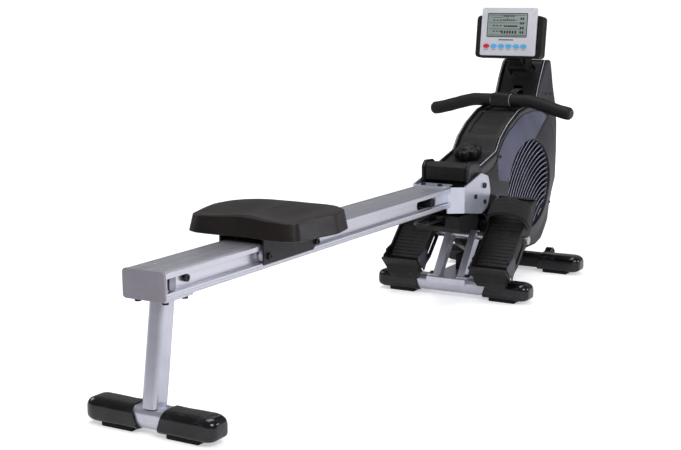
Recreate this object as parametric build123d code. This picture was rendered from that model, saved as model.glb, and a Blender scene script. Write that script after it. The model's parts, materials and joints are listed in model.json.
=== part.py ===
from build123d import *
import math
import os

# Rowing machine. Stations run forward (X) from the rear foot, heights (Z) up from the floor, all in mm.
# Y = 0 is the centre plane. Everything is shifted by -MID_STATION on export, so that the origin is under
# the middle of the machine, on the floor.

REAR_REACH = -33.0
FRONT_REACH = 2057.88
MID_STATION = (REAR_REACH + FRONT_REACH) / 2

# Pedal legs
LEG_INNER = 28.0
LEG_OUTER = 50.0

# Rail
RAIL_HALF_W = 52.0
RAIL_BOTTOM = 285.0
RAIL_TOP = 344.5
RAIL_REAR = -21.0
RAIL_FRONT = 1273.0
CHANNEL_LOW = 300.0
CHANNEL_HIGH = 330.0
CHANNEL_DEPTH = 13.0
WALL = 3.0

# Feet
FOOT_PAD = 9.0
FOOT_HALF_W = 33.0
FOOT_TOP = 60.0
TUBE_HALF_W = 28.0
TUBE_LOW = 12.0
TUBE_HIGH = 57.0
CAP_LENGTH = 140.0
REAR_FOOT = (0.0, 166.5)
PEDAL_FOOT = (1410.0, 244.0)
FRONT_FOOT = (1856.0, 232.0)

# Transport wheels
WHEEL = (1916.0, 46.0)
WHEEL_PIN_R = 5.0

# Seat carriage
ROLLER_STATIONS = (336.0, 535.0)
ROLLER_Z = 315.0
ROLLER_R = 14.5
ROLLER_AXLE_R = 4.0
CARRIAGE_REAR = 316.0
CARRIAGE_FRONT = 545.0
CARRIAGE_INNER = 56.0
CARRIAGE_OUTER = 60.0
CARRIAGE_TOP = 359.0
SEAT_LOW = 366.0
SEAT_HIGH = 405.0

# Fold pivot
PIVOT = (1432.0, 331.0)
PIVOT_R = 6.0
LOCK_BOLT = (1436.0, 283.0)
LEVER_PIN = (1320.0, 248.0)
LEVER_PIN_R = 2.5
BRACKET_INNER = 78.0
BRACKET_OUTER = 82.0

# Housing
HOUSING_HALF_W = 76.0
SHELL = 3.0
SPINE_HALF_W = 62.0
SPINE_INSET = 6.0

# Drive train
FLYWHEEL = (1748.0, 288.0)
FLYWHEEL_R = 112.0
DRUM = (1622.0, 412.0)
DRUM_PULLEY_R = 50.0
SMALL_PULLEY_R = 15.0
MAGNET_PIVOT = (1638.0, 222.0)
MAGNET_PIN_R = 4.0

# Pedals
AXLE = (1465.0, 174.0)
AXLE_R = 8.0
PEDAL_Y = 141.0
PEDAL_HALF_W = 58.0
PEDAL_ANGLE = 45.5
PEDAL_LENGTH = 274.0

# Handle, console, knob
HANDLE = (1738.0, 553.0)
HANDLE_HALF = 232.0
BAR_R = 12.0
GRIP_R = 19.5
BLOCK_HALF_W = 30.0
STRAP_HALF_W = 13.0
CONSOLE = (1785.0, 752.0)
CONSOLE_TILT = 8.0
NECK = (1872.0, 660.0)
NECK_R = 26.0
KNOB = (1497.0, 406.0)
KNOB_TILT = 15.8
KNOB_R = 41.0


def block(x0, x1, y0, y1, z0, z1):
    """A box between two corners."""
    centre = Pos((x0 + x1) / 2, (y0 + y1) / 2, (z0 + z1) / 2)
    return centre * Box(x1 - x0, y1 - y0, z1 - z0)


def slab(outline, y0, y1):
    """A side-on outline, local x as X and local y as Z, made thick from y0 to y1."""
    plane = Plane(origin=(0, y1, 0), x_dir=(1, 0, 0), z_dir=(0, -1, 0))
    return extrude(plane * outline, amount=y1 - y0, dir=(0, -1, 0))


def run(profile, x0, x1):
    """An end-on profile, local x as Y and local y as Z, carried along X."""
    plane = Plane(origin=(x0, 0, 0), x_dir=(0, 1, 0), z_dir=(1, 0, 0))
    return extrude(plane * profile, amount=x1 - x0, dir=(1, 0, 0))


def across(profile, x, y0, y1):
    """A section, local x as X and local y as Z about station x, carried along Y."""
    return slab(Pos(x, 0) * profile, y0, y1)


def disc(x, z, radius, y0, y1):
    """A round bar along Y."""
    return slab(Pos(x, z) * Circle(radius), y0, y1)


def ring(x, z, radius, bore, y0, y1):
    """A round sleeve along Y."""
    return disc(x, z, radius, y0, y1) - disc(x, z, bore, y0 - 1, y1 + 1)


def outline(points, radii=0):
    """A closed face through the points, its corners rounded where a radius is given."""
    if not radii:
        return Polygon(*points, align=None)
    return make_face(FilletPolyline(*points, radius=radii, close=True))


def other_side(shape):
    """The mirror image across the centre plane."""
    return mirror(shape, Plane.XZ)


def both(shape):
    """The shape and its mirror image."""
    return [shape, other_side(shape)]


def screw(x, y, z, radius=6.0, head=4.0, side=-1):
    """A socket screw whose round head stands out of a face that looks along Y."""
    low, high = sorted((y, y + side * head))
    body = disc(x, z, radius, low, high)
    low, high = sorted((y + side * head, y + side * (head - 2)))
    return body - slab(Pos(x, z) * RegularPolygon(radius * 0.5, 6), low, high)


def upright_screw(x, y, z, radius=6.0, head=4.0):
    """A socket screw whose head stands up from a level face."""
    body = Pos(x, y, z + head / 2) * Cylinder(radius, head)
    return body - Pos(x, y, z + head - 1) * extrude(RegularPolygon(radius * 0.5, 6), amount=2)


def save(node, *solids):
    """Write a node's solids in the machine's own frame."""
    pieces = []
    for solid in solids:
        pieces.extend(solid.solids())
    moved = [Pos(-MID_STATION, 0, 0) * piece for piece in pieces]
    export_step(moved[0] if len(moved) == 1 else Compound(children=moved), f"parts/{node}.step")


# ---------------------------------------------------------------- feet

def foot_section(half_w, low, high, corner):
    """The rounded section of a foot tube or its cap."""
    return Pos(0, (low + high) / 2) * RectangleRounded(2 * half_w, high - low, corner)


def foot_tube(foot):
    """A steel foot tube, open inside."""
    station, half_length = foot
    reach = half_length - 16
    tube = across(foot_section(TUBE_HALF_W, TUBE_LOW, TUBE_HIGH, 15), station, -reach, reach)
    hollow = foot_section(TUBE_HALF_W - 2, TUBE_LOW + 2, TUBE_HIGH - 2, 13)
    return tube - across(hollow, station, -reach - 1, reach + 1)


def end_cap(foot):
    """A moulded cap on the +Y end of a foot tube, with a round nose and a slanted mouth."""
    station, half_length = foot
    mouth = half_length - CAP_LENGTH
    body = across(foot_section(FOOT_HALF_W, FOOT_PAD, FOOT_TOP, 18), station, mouth, half_length)
    nose = body.faces().sort_by(Axis.Y)[-1]
    body = fillet(nose.edges(), 16)
    slant = Polygon((mouth - 1, FOOT_TOP + 1), (mouth + 14, FOOT_TOP + 1), (mouth - 1, FOOT_PAD + 12), align=None)
    body -= run(slant, station - 40, station + 40)
    bore = foot_section(TUBE_HALF_W + 0.1, TUBE_LOW - 0.1, TUBE_HIGH + 0.1, 15.1)
    return body - across(bore, station, mouth - 1, half_length - 16)


def foot_pad(foot):
    """The rubber pad under a cap: a long block with a chamfered tread."""
    station, half_length = foot
    pad = block(station - 24, station + 24, half_length - 122, half_length - 42, 0, FOOT_PAD)
    return chamfer(pad.faces().sort_by(Axis.Z)[0].edges(), 2)


# ---------------------------------------------------------------- rail

def rail_section():
    """The extrusion's section: a hollow core with a roller channel down each side."""
    middle = (RAIL_BOTTOM + RAIL_TOP) / 2
    section = Pos(0, middle) * RectangleRounded(2 * RAIL_HALF_W, RAIL_TOP - RAIL_BOTTOM, 5)
    core_half = RAIL_HALF_W - CHANNEL_DEPTH
    for side in (-1, 1):
        channel = Rectangle(CHANNEL_DEPTH * 2, CHANNEL_HIGH - CHANNEL_LOW)
        section -= Pos(side * RAIL_HALF_W, (CHANNEL_LOW + CHANNEL_HIGH) / 2) * channel
        for step in (289.5, 294.5):
            section -= Pos(side * RAIL_HALF_W, step) * Rectangle(1.6, 1.4)
    section -= Pos(0, middle) * Rectangle(2 * (core_half - WALL), RAIL_TOP - RAIL_BOTTOM - 2 * WALL - 1)
    for side in (-1, 1):
        for offset in (9, 23, 37):
            section -= Pos(side * offset, RAIL_TOP) * Rectangle(2.4, 2.0)
    return section


def rail():
    """The seat rail, with a slot through each side web for the seat stop."""
    body = run(rail_section(), RAIL_REAR, RAIL_FRONT)
    middle = (CHANNEL_LOW + CHANNEL_HIGH) / 2
    slot = Pos(1136, middle) * SlotOverall(94, 24)
    return body - slab(slot, -RAIL_HALF_W, RAIL_HALF_W)


def rail_end_cap():
    """The moulded plug and cover plate on the rail's rear end."""
    middle = (RAIL_BOTTOM + RAIL_TOP) / 2
    plate = run(Pos(0, middle) * RectangleRounded(107, 62, 8), RAIL_REAR - 6, RAIL_REAR)
    plug_half = RAIL_HALF_W - CHANNEL_DEPTH - WALL - 0.2
    plug_height = RAIL_TOP - RAIL_BOTTOM - 2 * WALL - 1.4
    return plate + run(Pos(0, middle) * Rectangle(2 * plug_half, plug_height), RAIL_REAR, RAIL_REAR + 22)


def rear_post():
    """The leaning oval post that carries the rail's rear end, with its welded head plate and saddle."""
    section = Pos(-3, 0, TUBE_HIGH) * RectangleRounded(50, 40, 14)
    rise = RAIL_BOTTOM - 5 - TUBE_HIGH
    lean = Vector(36, 0, rise)
    post = extrude(section, amount=lean.length, dir=lean.normalized())
    post += block(-14, 78, -45, 45, RAIL_BOTTOM - 5, RAIL_BOTTOM)
    hollow = Pos(-3, 0, TUBE_HIGH) * RectangleRounded(45, 35, 11.5)
    return post - extrude(hollow, amount=lean.length * 0.96, dir=lean.normalized())


def rail_fasteners():
    """Socket screws in the rail's side, under its rear end and on top of its front end, and the bracket's."""
    screws = both(screw(56, -(RAIL_HALF_W - CHANNEL_DEPTH), 319, 8, 9))
    for x, y in ((-2, 35), (62, 35)):
        head = Pos(x, y, RAIL_BOTTOM - 8) * Cylinder(7, 6)
        screws += both(head)
    screws += [upright_screw(x, y, RAIL_TOP + 4, 7, 5) for x, y in ((1256, 26), (1256, -26))]
    screws += both(screw(1372, -BRACKET_OUTER, 306, 6.5, 4))
    screws += both(screw(LOCK_BOLT[0], -BRACKET_OUTER, LOCK_BOLT[1], 6.5, 4))
    return screws


def seat_stops():
    """The rubber stop in the front slot, right through the rail, and the two at the rear of the channels."""
    middle = (CHANNEL_LOW + CHANNEL_HIGH) / 2
    front = slab(Pos(1164, middle) * RectangleRounded(27, 23, 6), -49, 49)
    reach = RAIL_HALF_W - CHANNEL_DEPTH
    rear = slab(Pos(14, middle) * RectangleRounded(20, 28, 5), -reach - 3, -reach)
    return [front] + both(rear)


def bracket_outline():
    """The side view of a fold bracket's plate: square at the rail, round at the pivot."""
    points = [(1302, 268), (1302, 342), (1413, 369), (1462, 356), (1480, 307), (1458, 262), (1417, 250)]
    return outline(points, [3, 6, 12, 22, 30, 22, 14])


def fold_bracket():
    """One pressed bracket: a tongue in the rail's channel, a step outwards and a round plate."""
    plate = slab(bracket_outline(), -BRACKET_OUTER, -BRACKET_INNER)
    plate -= disc(*PIVOT, PIVOT_R + 0.05, -90, -70)
    inner = RAIL_HALF_W - CHANNEL_DEPTH
    tongue = block(1196, 1278, -inner - 4, -inner, CHANNEL_LOW + 2, CHANNEL_HIGH - 2)
    flare = Polygon(
        (1274, -inner - 4), (1300, -BRACKET_OUTER), (1304, -BRACKET_OUTER),
        (1304, -BRACKET_INNER), (1278, -inner), (1274, -inner), align=None,
    )
    step = Pos(0, 0, 268) * extrude(flare, amount=74)
    return plate + tongue + step


def bracket_cross_plate():
    """The folded top plate that ties the rail's end to both brackets."""
    return block(1238, 1297, -45, 45, RAIL_TOP, RAIL_TOP + 4)


# ---------------------------------------------------------------- seat

def carriage_frame():
    """The folded steel saddle over the rail, its front corners cut away."""
    side = outline(
        [(CARRIAGE_REAR, CARRIAGE_TOP), (CARRIAGE_REAR, 298), (CARRIAGE_FRONT - 22, 298),
         (CARRIAGE_FRONT, 318), (CARRIAGE_FRONT, CARRIAGE_TOP)]
    )
    saddle = slab(side, -CARRIAGE_OUTER, CARRIAGE_OUTER)
    saddle -= block(300, 560, -CARRIAGE_INNER, CARRIAGE_INNER, 290, CARRIAGE_TOP - 4)
    for station in ROLLER_STATIONS:
        saddle -= disc(station, ROLLER_Z, ROLLER_AXLE_R + 0.05, -70, 70)
    return saddle


def roller_axles():
    """A shouldered bolt for each roller, its head outside the saddle."""
    axles = []
    for station in ROLLER_STATIONS:
        shank = disc(station, ROLLER_Z, ROLLER_AXLE_R, -CARRIAGE_OUTER, -40.5)
        axles += both(shank + screw(station, -CARRIAGE_OUTER, ROLLER_Z, 8, 6))
    return axles


def roller(station, side):
    """One nylon roller, slightly barrelled, on its bolt."""
    low, high = sorted((side * 41.0, side * 54.0))
    wheel = disc(station, ROLLER_Z, ROLLER_R, low, high)
    wheel = fillet(wheel.edges(), 1.5)
    return wheel - disc(station, ROLLER_Z, ROLLER_AXLE_R + 0.05, low - 1, high + 1)


def seat_pan():
    """The stiff board under the cushion, with two bearers onto the saddle."""
    board = block(332, 540, -118, 118, CARRIAGE_TOP + 2, SEAT_LOW)
    return board + block(340, 530, -58, 58, CARRIAGE_TOP, CARRIAGE_TOP + 3)


def seat_outline(shrink):
    """The seat's plan: straight behind, wide in the middle, narrowing to a round front."""
    points = [
        (302 + shrink, 118 - shrink / 2), (448, 176 - shrink), (560 - shrink, 112 - shrink),
        (560 - shrink, -112 + shrink), (448, -176 + shrink), (302 + shrink, -118 + shrink / 2),
    ]
    return outline(points, [34, 90, 70, 70, 90, 34])


def seat_cushion():
    """The moulded saddle as a plain tapered solid."""
    lower = Pos(0, 0, SEAT_LOW) * seat_outline(0)
    upper = Pos(0, 0, SEAT_HIGH) * seat_outline(16)
    return loft([lower, upper])


def seat_screws():
    """Four screws up through the board's bearers."""
    return [Pos(x, y, CARRIAGE_TOP - 5.5) * Cylinder(6, 3) for x in (366, 500) for y in (-36, 36)]


# ---------------------------------------------------------------- front frame

def base_plate():
    """The folded plate over the pedal foot that carries the legs and the beam."""
    plate = block(1350, 1606, -62, 62, TUBE_HIGH, TUBE_HIGH + 5)
    return plate + block(1350, 1355, -62, 62, TUBE_HIGH - 12, TUBE_HIGH + 5)


def strut_outline():
    """The side view of the strut from the beam to the fold pivot."""
    return outline([(1540, 108), (1600, 108), (1470, 318), (1414, 318), (1414, 290)])


def main_frame():
    """The welded frame: floor beam, leaning upright, strut to the fold pivot and the bearing plates."""
    beam = block(1480, 1884, -29, 29, TUBE_HIGH + 5, 108) - block(1484, 1900, -25, 25, TUBE_HIGH + 9, 104)
    beam += block(1826, 1886, -29, 29, TUBE_HIGH, TUBE_HIGH + 5)
    upright = slab(outline([(1848, 108), (1886, 108), (1946, 640), (1908, 640)]), -20, 20)
    strut = slab(strut_outline(), -24, 24)
    pivot = ring(*PIVOT, 20, PIVOT_R + 0.05, -72, 72)
    lock = slab(Pos(*LOCK_BOLT) * Circle(12), -70, 70)
    plates = both(slab(outline(
        [(1612, 108), (1790, 108), (1800, 288), (1770, 330), (1650, 440), (1596, 440), (1590, 380)]
    ), 50, 54))
    bridge = block(1600, 1780, -50, 50, 108, 114)
    magnet_pin = disc(*MAGNET_PIVOT, MAGNET_PIN_R, -54, 54)
    frame = beam + upright + strut + pivot + lock + bridge + magnet_pin + plates[0] + plates[1]
    frame -= disc(*FLYWHEEL, 8.05, -80, 80)
    frame -= disc(*DRUM, 8.05, -80, 80)
    return frame


def pedal_leg():
    """A flat leg from the base plate up to the axle, with a bent foot."""
    rise = outline([(1366, 62), (1392, 62), (1480, 168), (1478, 186), (1462, 190), (1450, 180)])
    leg = slab(rise, -LEG_OUTER, -LEG_INNER) + block(1362, 1398, -LEG_OUTER - 14, -LEG_INNER, 62, 67)
    return leg - disc(*AXLE, 12.6, -LEG_OUTER - 10, -LEG_INNER + 10)


def pedal_axle():
    """The axle sleeve between the legs with the pedal shaft through it."""
    shaft = disc(*AXLE, AXLE_R, -204, 204)
    sleeve = disc(*AXLE, 12.5, -82, 82)
    return shaft + sleeve + disc(*AXLE, 12, 200, 211) + disc(*AXLE, 12, -211, -200)


def frame_fasteners():
    """Leg bolts, screws through the side panels and the nuts inside the fold bracket."""
    bolts = both(upright_screw(1380, -57, 67, 7, 5)) + both(upright_screw(1590, -50, 62, 6, 5))
    for x, z in ((1640, 120), (1950, 560), (1560, 400)):
        bolts += both(screw(x, -HOUSING_HALF_W, z, 5, 2.5))
    return bolts + [disc(*LEVER_PIN, LEVER_PIN_R, -67, 67)]


def fold_pivot_bolt():
    """The long bolt that the rail folds about, a head at each end."""
    shank = disc(*PIVOT, PIVOT_R, -BRACKET_OUTER - 1, BRACKET_OUTER + 1)
    heads = both(screw(PIVOT[0], -BRACKET_OUTER - 0.4, PIVOT[1], 8, 5))
    return shank + heads[0] + heads[1]


def wheel_bracket():
    """A fork on the front foot tube with the transport wheel's pin."""
    x, z = WHEEL
    root = block(1889, 1892, -115, -86, 24, 52)
    side = outline([(1890, 24), (1890, 52), (x, z + 9), (x + 9, z), (x, z - 9)])
    fork = root + slab(side, -115, -112) + slab(side, -89, -86)
    return fork + disc(x, z, WHEEL_PIN_R, -116, -85)


def transport_wheel(side):
    """One moulded transport wheel with a dished hub."""
    wheel = ring(*WHEEL, 20, WHEEL_PIN_R + 0.05, -111, -90)
    wheel = fillet(wheel.faces().sort_by(Axis.Y)[0].edges(), 2)
    wheel -= ring(*WHEEL, 15, 9, -112, -108)
    wheel -= ring(*WHEEL, 15, 9, -93, -89)
    return wheel if side < 0 else other_side(wheel)


# ---------------------------------------------------------------- housing

def housing_outline():
    """The side view of the casing, from the nose up the sloped back to the tower and down the front."""
    points = [
        (1338, 262), (1336, 392), (1352, 407), (1400, 404), (1426, 387), (1540, 418), (1572, 456),
        (1628, 493), (1706, 526), (1842, 546), (1876, 614), (1912, 670), (1962, 668), (2002, 604),
        (2034, 540), (2054, 462), (2058, 372), (2052, 274), (2018, 222), (1974, 147), (1904, 92),
        (1862, 82), (1640, 82), (1560, 120), (1500, 214), (1440, 250),
    ]
    radii = [6, 10, 8, 14, 14, 26, 30, 50, 30, 26, 30, 16, 16, 60, 60, 60, 90, 40, 60, 50, 30, 20, 40, 40, 40, 20]
    return outline(points, radii)


def back_region():
    """The part of the side view that lies along the sloped back, from the nose to the tower's top."""
    return outline([
        (1300, 250), (1300, 460), (1520, 480), (1700, 580), (1830, 600), (1890, 720),
        (1936, 720), (1936, 640), (1880, 560), (1850, 500), (1700, 470), (1600, 400), (1400, 340), (1372, 250),
    ])


def grille_oval(grow=0.0):
    """The oval opening in the panel."""
    return Pos(1788, 288) * Ellipse(170 + grow, 143 + grow)


def side_panel():
    """One half of the casing on the -Y side: a moulded pan with a rim, open to the other half."""
    face = housing_outline()
    body = slab(face, -HOUSING_HALF_W, -0.15)
    outer = body.faces().sort_by(Axis.Y)[0]
    body = fillet(outer.edges(), 5)
    body -= slab(offset(face, -SHELL), -HOUSING_HALF_W + SHELL, 1)
    body -= slab(offset(face, 4) & back_region(), -SPINE_HALF_W - 0.3, 1)
    body -= block(1440, 1900, -30, 1, 40, 112)
    body -= slab(offset(strut_outline(), 1.5), -26, 1)
    body -= slab(grille_oval(), -80, -60)
    body -= disc(*PIVOT, PIVOT_R + 1, -80, 1)
    body -= disc(*LOCK_BOLT, 13, -80, 1)
    return body


def spine_cover():
    """The long moulded strip between the panels, with the strap slot, the knob hole and the neck socket."""
    face = housing_outline()
    band = (offset(face, -SPINE_INSET) - offset(face, -SPINE_INSET - SHELL)) & back_region()
    strip = slab(band - outline([(1290, 240), (1290, 470), (1418, 470), (1418, 240)]), -SPINE_HALF_W, SPINE_HALF_W)
    strip -= block(1836, 1900, -STRAP_HALF_W - 4, STRAP_HALF_W + 4, 566, 590)
    strip -= slab(Pos(*NECK) * Circle(NECK_R + 1), -34, 34)
    knob_axis = Pos(KNOB[0], 0, KNOB[1]) * Rot(0, -KNOB_TILT, 0)
    return strip - knob_axis * Pos(0, 0, -20) * Cylinder(5.5, 60)


def nose_cover():
    """The blunt cover between the panels' rear ends."""
    face = offset(housing_outline(), -SPINE_INSET)
    nose = face & outline([(1290, 348), (1290, 470), (1416, 470), (1416, 372), (1404, 356)])
    shell = slab(nose, -SPINE_HALF_W, SPINE_HALF_W)
    inner = offset(face, -SHELL) & outline([(1290, 340), (1290, 470), (1420, 470), (1420, 340)])
    return shell - slab(inner, -SPINE_HALF_W + SHELL, SPINE_HALF_W - SHELL)


def belly_cover():
    """The open-topped tray under the fold pivot."""
    side = outline([(1292, 257), (1292, 222), (1306, 208), (1410, 208), (1424, 230), (1424, 248), (1338, 257)])
    tray = slab(side, -70, 70)
    inner = outline([(1295, 270), (1295, 224), (1308, 211), (1408, 211), (1421, 231), (1421, 270)])
    return tray - slab(inner, -67, 67) - block(1285, 1300, -26, 26, 226, 270)


def side_grille():
    """The oval grille on the -Y side: a rim and curved slats that sweep up and forwards."""
    rim = grille_oval(-0.3) - grille_oval(-9)
    grille = slab(rim, -74, -66)
    slats = []
    for index in range(18):
        reach = 108 + index * 17
        arc = Pos(1950, 92) * (Circle(reach + 4) - Circle(reach - 4))
        slats.append(arc & grille_oval(-5))
    for slat in slats:
        grille += slab(slat, -72, -67)
    return grille


# ---------------------------------------------------------------- drive train

def flywheel():
    """The cast flywheel with its shaft and small belt pulley."""
    wheel = ring(*FLYWHEEL, FLYWHEEL_R, 84, -10, 18) + disc(*FLYWHEEL, 86, -1, 9)
    shaft = disc(*FLYWHEEL, 8, -60, 60) + disc(*FLYWHEEL, 16, -4, 12)
    return wheel + shaft + disc(*FLYWHEEL, SMALL_PULLEY_R, -40, -26)


def strap_drum():
    """The large belt pulley and the strap drum on one shaft."""
    pulley = disc(*DRUM, DRUM_PULLEY_R, -40, -26) - ring(*DRUM, 48, 22, -42, -36) - ring(*DRUM, 48, 22, -30, -20)
    drum = disc(*DRUM, 24, -26, 26) + disc(*DRUM, 40, -20, -17) + disc(*DRUM, 40, 17, 20)
    return pulley + drum + disc(*DRUM, 8, -60, 60)


def belt_outline(grow):
    """The closed loop round both pulleys, grown outwards."""
    large = Pos(*DRUM) * Circle(DRUM_PULLEY_R + grow)
    small = Pos(*FLYWHEEL) * Circle(SMALL_PULLEY_R + grow)
    return make_hull(large.edges() + small.edges())


def drive_belt():
    """The flat belt from the large pulley to the flywheel's."""
    return slab(belt_outline(2.3) - belt_outline(0.3), -38, -28)


def rewind_cassette():
    """The spring case that winds the strap back, fixed to the frame."""
    return ring(*DRUM, 46, 8.3, 28, 49)


def magnet_arm():
    """The curved arm beside the flywheel's rim, with an eye that swings on the frame's pin."""
    arc = Circle(FLYWHEEL_R + 16) - Circle(FLYWHEEL_R + 8)
    wedge = Polygon((-20, 20), (-260, 200), (-260, -170), (-20, -12), align=None)
    eye = disc(*MAGNET_PIVOT, 9, -12, 20)
    return slab(Pos(*FLYWHEEL) * (arc & wedge), -12, 20) + eye - disc(*MAGNET_PIVOT, MAGNET_PIN_R + 0.05, -20, 30)


def brake_magnets():
    """Five flat magnets along the arm's inner face."""
    magnets = []
    for angle in range(150, 211, 15):
        place = Pos(*FLYWHEEL) * Rot(0, 0, angle) * Pos(FLYWHEEL_R + 5, 0) * Rectangle(4, 20)
        magnets.append(slab(place, -8, 16))
    return magnets


# ---------------------------------------------------------------- knob, handle, strap

def tension_knob():
    """The lobed knob on the sloped back, with its shaft."""
    grip = Circle(KNOB_R - 6)
    for lobe in range(6):
        grip += Rot(0, 0, lobe * 60) * Pos(KNOB_R - 9, 0) * Circle(9)
    body = extrude(grip, amount=26)
    body = fillet(body.faces().sort_by(Axis.Z)[-1].edges(), 3)
    body += Pos(0, 0, -0.1) * Cylinder(26, 34, align=(Align.CENTER, Align.CENTER, Align.MIN))
    body += Pos(0, 0, -30) * Cylinder(5, 31, align=(Align.CENTER, Align.CENTER, Align.MIN))
    return Pos(KNOB[0], 0, KNOB[1]) * Rot(0, -KNOB_TILT, 0) * body


def bar_path():
    """The handle's centre line: level in the middle, drooping and swept back at the ends."""
    x, z = HANDLE
    points = [
        (x - 10, -HANDLE_HALF, z - 34), (x - 2, -150, z - 8), (x, -95, z),
        (x, 95, z), (x - 2, 150, z - 8), (x - 10, HANDLE_HALF, z - 34),
    ]
    return Spline(*points)


def bar_section(path, radius):
    """A round section square to the start of the path."""
    return Plane(origin=path @ 0, z_dir=path % 0) * Circle(radius)


def handlebar():
    """The steel bar inside the grips."""
    path = bar_path()
    return sweep(bar_section(path, BAR_R), path=path)


def handle_grips():
    """Two foam sleeves over the bar, from the centre block out to the ends."""
    path = bar_path()
    foam = sweep(bar_section(path, GRIP_R), path=path) - sweep(bar_section(path, BAR_R + 0.1), path=path)
    return foam - block(HANDLE[0] - 60, HANDLE[0] + 60, -BLOCK_HALF_W - 1.5, BLOCK_HALF_W + 1.5, 480, 620)


def handle_block():
    """The moulded block that clamps the bar and holds the strap."""
    x, z = HANDLE
    body = slab(Pos(x + 4, z) * RectangleRounded(52, 44, 9), -BLOCK_HALF_W, BLOCK_HALF_W)
    body -= block(x + 12, x + 40, -STRAP_HALF_W - 1, STRAP_HALF_W + 1, z - 3, z + 3)
    path = bar_path()
    return body - sweep(bar_section(path, BAR_R + 0.1), path=path)


def handle_strap():
    """The flat webbing from the block to the slot and over the guide inside the tower."""
    x, z = HANDLE
    side = outline([(x + 14, z - 1), (x + 40, z - 1), (1846, 577), (1890, 577), (1890, 579), (1845, 579),
                    (x + 39, z + 1), (x + 14, z + 1)])
    return slab(side, -STRAP_HALF_W, STRAP_HALF_W)


# ---------------------------------------------------------------- console

def console_frame():
    """The console's own frame: local x to the rower's right, local y up the face, local z out of it."""
    tilt = math.radians(CONSOLE_TILT)
    return Plane(origin=(CONSOLE[0], 0, CONSOLE[1]), x_dir=(0, -1, 0), z_dir=(-math.cos(tilt), 0, math.sin(tilt)))


def console_slab(sketch, low, high):
    """A sketch on the console's face, made thick between two depths."""
    return console_frame() * (Pos(0, 0, low) * extrude(sketch, amount=high - low, dir=(0, 0, 1)))


BUTTON_PITCH = 25.0
BUTTON_ROW = -36.0
BUTTON_SHIFT = -8.0
FASCIA_SIZE = (184.0, 148.0)
FASCIA_RISE = 9.0
WINDOW_SIZE = (130.0, 70.0)
WINDOW_SPOT = (-5.0, 29.0)


def button_spot(index):
    """Where a button sits on the console's face."""
    return Pos(BUTTON_SHIFT + (index - 2.5) * BUTTON_PITCH, BUTTON_ROW)


def console_back():
    """The black tray behind the fascia."""
    tray = console_slab(Pos(0, -6) * RectangleRounded(220, 130, 12), -34, 0)
    pocket = console_slab(Pos(0, -6) * RectangleRounded(212, 122, 9), -30, -2)
    inset = console_slab(Pos(0, -6) * RectangleRounded(190, 100, 6), -3, 1)
    return tray - pocket - inset


def console_fascia():
    """The silver front with its display window and six button holes."""
    face = Pos(0, FASCIA_RISE) * RectangleRounded(*FASCIA_SIZE, 8)
    face -= Pos(*WINDOW_SPOT) * RectangleRounded(*WINDOW_SIZE, 3)
    for index in range(6):
        face -= button_spot(index) * Ellipse(10.6, 7.1)
    return console_slab(face, 0, 7)


def console_lens():
    """The clear window over the display."""
    return console_slab(Pos(*WINDOW_SPOT) * RectangleRounded(WINDOW_SIZE[0] - 0.6, WINDOW_SIZE[1] - 0.6, 2.8), 1, 5)


def console_button(index):
    """One oval button that travels into the fascia."""
    spot = button_spot(index)
    cap = console_slab(spot * Ellipse(10, 6.5), -0.5, 9.5)
    return cap + console_slab(spot * Ellipse(12, 8.5), -2.2, -0.4)


def console_neck():
    """The half-round knuckle and arm that carry the console."""
    knuckle = disc(*NECK, NECK_R, -32, 32)
    arm = slab(outline([(1822, 672), (1838, 716), (1866, 700), (1892, 668), (1852, 648)]), -24, 24)
    return knuckle + arm


# ---------------------------------------------------------------- pedals

def pedal_frame(y):
    """The pedal's own frame: local x from heel to toe, local y out of the sole, at depth y."""
    angle = math.radians(PEDAL_ANGLE)
    heel = (AXLE[0] - 141 * math.cos(angle), y, AXLE[1] - 141 * math.sin(angle))
    return Plane(origin=heel, x_dir=(math.cos(angle), 0, math.sin(angle)), z_dir=(0, -1, 0))


def pedal_slab(sketch, y0, y1):
    """A sketch in the pedal's side view, made thick from y0 to y1."""
    return extrude(pedal_frame(y1) * sketch, amount=y1 - y0, dir=(0, -1, 0))


def footplate():
    """The moulded footplate on the -Y side: sole, side walls, heel cup and axle hub."""
    low, high = -PEDAL_Y - PEDAL_HALF_W, -PEDAL_Y + PEDAL_HALF_W
    sole = pedal_slab(Pos(PEDAL_LENGTH / 2, 15) * Rectangle(PEDAL_LENGTH, 7), low, high)
    wall = outline([
        (0, 12), (30, 50), (60, 34), (250, 30), (PEDAL_LENGTH, 18), (262, 4), (190, -16), (60, -16), (10, -2),
    ])
    wall -= Pos(90, 3) * SlotOverall(70, 12)
    body = sole + pedal_slab(wall, low, low + 5) + pedal_slab(wall, high - 5, high)
    heel = Pos(-3, 26) * Rectangle(6, 54)
    body += pedal_slab(heel, low, high)
    skirt = slab(outline([(1344, 112), (1350, 60), (1358, 48), (1371, 48), (1373, 72), (1362, 96)]), low, high)
    for edge, inward in ((low, 1), (high, -1)):
        taper = outline([(edge - inward, 100), (edge - inward, 40), (edge + 17 * inward, 40)])
        skirt -= run(taper, 1330, 1380)
    body += skirt
    body += pedal_slab(Pos(141, 0) * Circle(14), low, high)
    body += pedal_slab(Pos(141, 7) * Rectangle(24, 14), low, high)
    body += pedal_slab(Pos(PEDAL_LENGTH - 3, 18) * Rectangle(6, 14), low, high)
    return body - disc(*AXLE, AXLE_R + 0.05, low - 5, high + 5)


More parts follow.
